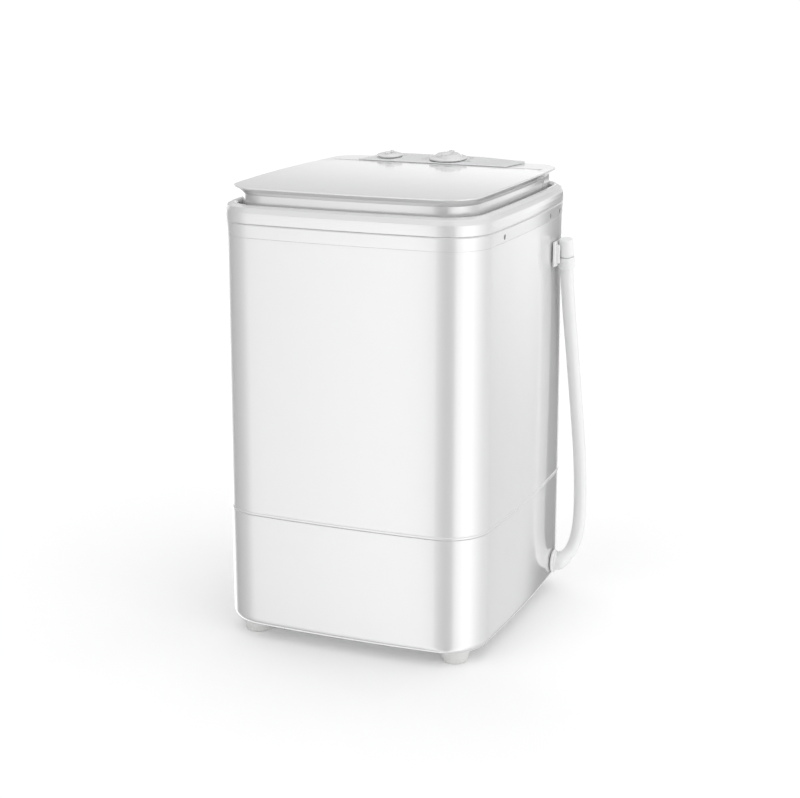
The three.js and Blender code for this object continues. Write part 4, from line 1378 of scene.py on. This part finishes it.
class WASHER_OT_wash_tub(bpy.types.Operator):
    """Forms the wash tub: rim, tapered wall with rubbing ribs, dished floor and drain grille"""

    bl_idname = "washer.wash_tub"
    bl_label = "Wash tub"

    FLOOR_Z = 199.0
    TUB_RIM_Z = 546.3
    RIB_RADIUS = 3.4

    def execute(self, context):
        paint = finishes(context)["satin_white"]
        floor, rim = self.FLOOR_Z, self.TUB_RIM_Z
        profile = rounded(
            [(-33, floor - 3), (-18, floor), (-7.6, floor + 9), (-3.5, floor + 24), (2.5, rim), (11, rim),
             (11, rim + 2.5), (2, rim + 2.5), (2, rim + 4.6), (-0.4, rim + 4.6), (-6, floor + 24),
             (-10, floor + 11), (-19.5, floor + 2.6), (-33, floor)],
            6.0, 6, False,
        )
        tub = sweep("wash_tub_liner", profile, TUB, closed=False)
        drain = Matrix.Translation((*DRAIN, 0))
        weld(tub, rod("dish", 111, 187, 198, TUB_MIDDLE, 96))
        cut(tub, rod("dish", 108, 190, 203, TUB_MIDDLE, 96), rod("hole", 14, 180, 200, TUB_MIDDLE, 48))
        cut(tub, rod("drain", 11, 180, 215, drain, 48))
        self.add_ribs(tub, paint)
        complete(tub, "root", paint, ["wash_tub"])
        grille = rod("drain_grille", 14.5, 199.2, 201.0, None, 48, 0.5)
        for radius, count in ((4.2, 6), (9.0, 12)):
            hole = rod("hole", 1.5, 190, 210, None, 12)
            ring_of_holes(grille, paint, hole, count, radius, 0.0, 2 * math.pi / count)
        move(grille, drain)
        complete(grille, "root", finishes(context)["grey_plastic"])
        return {"FINISHED"}

    def add_ribs(self, tub, paint):
        """Upright half-round ribs on the four walls, leaning with them."""
        radius = self.RIB_RADIUS
        for turn in range(4):
            wall = TUB["a" if turn % 2 else "b"] - radius
            line = smooth_line([(0, -wall, 262), (0, -wall - 1.5, 350), (0, -wall - 3.2, 450)], 16)
            shape = tube("rib", line, lambda s: radius * min(1.0, 0.35 + 6 * min(s, 1 - s)), 12)
            ribs = repeat("ribs", "row", shape, paint, count=5, start=(-44 * MM, 0, 0), step=(22 * MM, 0, 0))
            move(ribs, TUB_MIDDLE @ Matrix.Rotation(turn * math.pi / 2, 4, "Z"))
            weld(tub, ribs)


class WASHER_OT_pulsator(bpy.types.Operator):
    """Moulds the pulsator: a domed disc with four curved blades and rings of holes, and its centre screw"""

    bl_idname = "washer.pulsator"
    bl_label = "Pulsator"

    # Holes between two blades: ring's radius, how many, how far past a blade they start and what they span.
    HOLES = [(94, 7, 16, 58), (70, 5, 24, 42)]

    def execute(self, context):
        paint = finishes(context)
        profile = [(0, 206), (7, 206), (7, 193), (103, 193), (105, 196), (104, 200), (86, 203), (44, 210),
                   (30, 218), (22, 224), (0, 226)]
        disc = turned("pulsator_disc", rounded(profile, 3.0, 5, False), 96)
        bend = smooth_line([(20, 0, 205), (50, 3, 205), (76, 0, 204), (97, -8, 203)], 20)
        blade = tube("blade", bend, lambda s: 2.5 + 8.5 * math.sin(math.pi * min(1, 0.1 + 0.95 * s)), 24)
        blades = repeat("blades", "dial", blade, paint["gloss_white"], count=4, radius=0.0,
                        first_angle=math.radians(45), step_angle=math.pi / 2)
        weld(disc, blades)
        cut(disc, block("under", -120, 120, -120, 120, 150, 193))
        for radius, count, past, spread in self.HOLES:
            for quarter in range(4):
                hole = rod("hole", 1.9, 190, 215, None, 12)
                first = math.radians(45 + 90 * quarter + past)
                step = math.radians(spread / (count - 1))
                ring_of_holes(disc, paint["gloss_white"], hole, count, radius, first, step)
        cut(disc, rod("bore", 6.3, 185, 214, None, 40), rod("well", 7, 221, 230, None, 40))
        screw = rod("pulsator_cap_screw", 6.2, 221.4, 224.4, None, 40, 0.6)
        cut(screw, *cross_slots(4.2, 0.8, 222.9, 230))
        move(disc, TUB_MIDDLE)
        move(screw, TUB_MIDDLE)
        complete(disc, "pulsator_drive", paint["lid_white"], ["pulsator"])
        complete(screw, "pulsator_drive", paint["bright_steel"], ["pulsator_screw"])
        return {"FINISHED"}


class WASHER_OT_inner_works(bpy.types.Operator):
    """Gives the drive, motor, drain and small parts inside the cabinet their finishes"""

    bl_idname = "washer.inner_works"
    bl_label = "Inner works"

    def execute(self, context):
        paint = finishes(context)
        slots = {part["node"]: part["material_slot"] for part in frame["record"]["subparts"]}
        for name, obj in NODES.items():
            if obj.hide_render:
                continue
            finish = paint["winding" if name in ("motor_stator", "motor_rotor") else slots[name]]
            if not obj.material_slots:
                obj.data.materials.append(finish)
            for holder in obj.material_slots:
                holder.material = finish
        return {"FINISHED"}


# ---------------------------------------------------------------- the panel and the run


OPERATORS = [
    WASHER_OT_stage,
    WASHER_OT_drain_hose,
    WASHER_OT_base_plinth,
    WASHER_OT_cabinet,
    WASHER_OT_top_frame,
    WASHER_OT_bezel,
    WASHER_OT_lid,
    WASHER_OT_console,
    WASHER_OT_knobs,
    WASHER_OT_feet,
    WASHER_OT_rear_cover,
    WASHER_OT_wash_tub,
    WASHER_OT_pulsator,
    WASHER_OT_inner_works,
]


class WASHER_PT_pieces(bpy.types.Panel):
    """The machine's sizes and colours, and a button for each piece"""

    bl_label = "Washer"
    bl_idname = "WASHER_PT_pieces"
    bl_space_type = "VIEW_3D"
    bl_region_type = "UI"
    bl_category = "Washer"

    def draw(self, context):
        scene = context.scene
        for group in (scene.washer_sizes, scene.washer_colours, scene.washer_studio):
            box = self.layout.box()
            for key in group.bl_rna.properties.keys():
                if key not in ("rna_type", "name"):
                    box.prop(group, key)
        for operator in OPERATORS:
            self.layout.operator(operator.bl_idname)


GROUPS = {"washer_sizes": WasherSizes, "washer_colours": WasherColours, "washer_studio": WasherStudio}


def register():
    for cls in (*GROUPS.values(), *OPERATORS, WASHER_PT_pieces):
        bpy.utils.register_class(cls)
    for name, cls in GROUPS.items():
        setattr(bpy.types.Scene, name, bpy.props.PointerProperty(type=cls))


def unregister():
    for name in GROUPS:
        delattr(bpy.types.Scene, name)
    for cls in reversed((*GROUPS.values(), *OPERATORS, WASHER_PT_pieces)):
        bpy.utils.unregister_class(cls)


def main():
    register()
    for operator in OPERATORS:
        group, name = operator.bl_idname.split(".")
        getattr(getattr(bpy.ops, group), name)()
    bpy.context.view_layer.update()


if __name__ == "__main__":
    main()
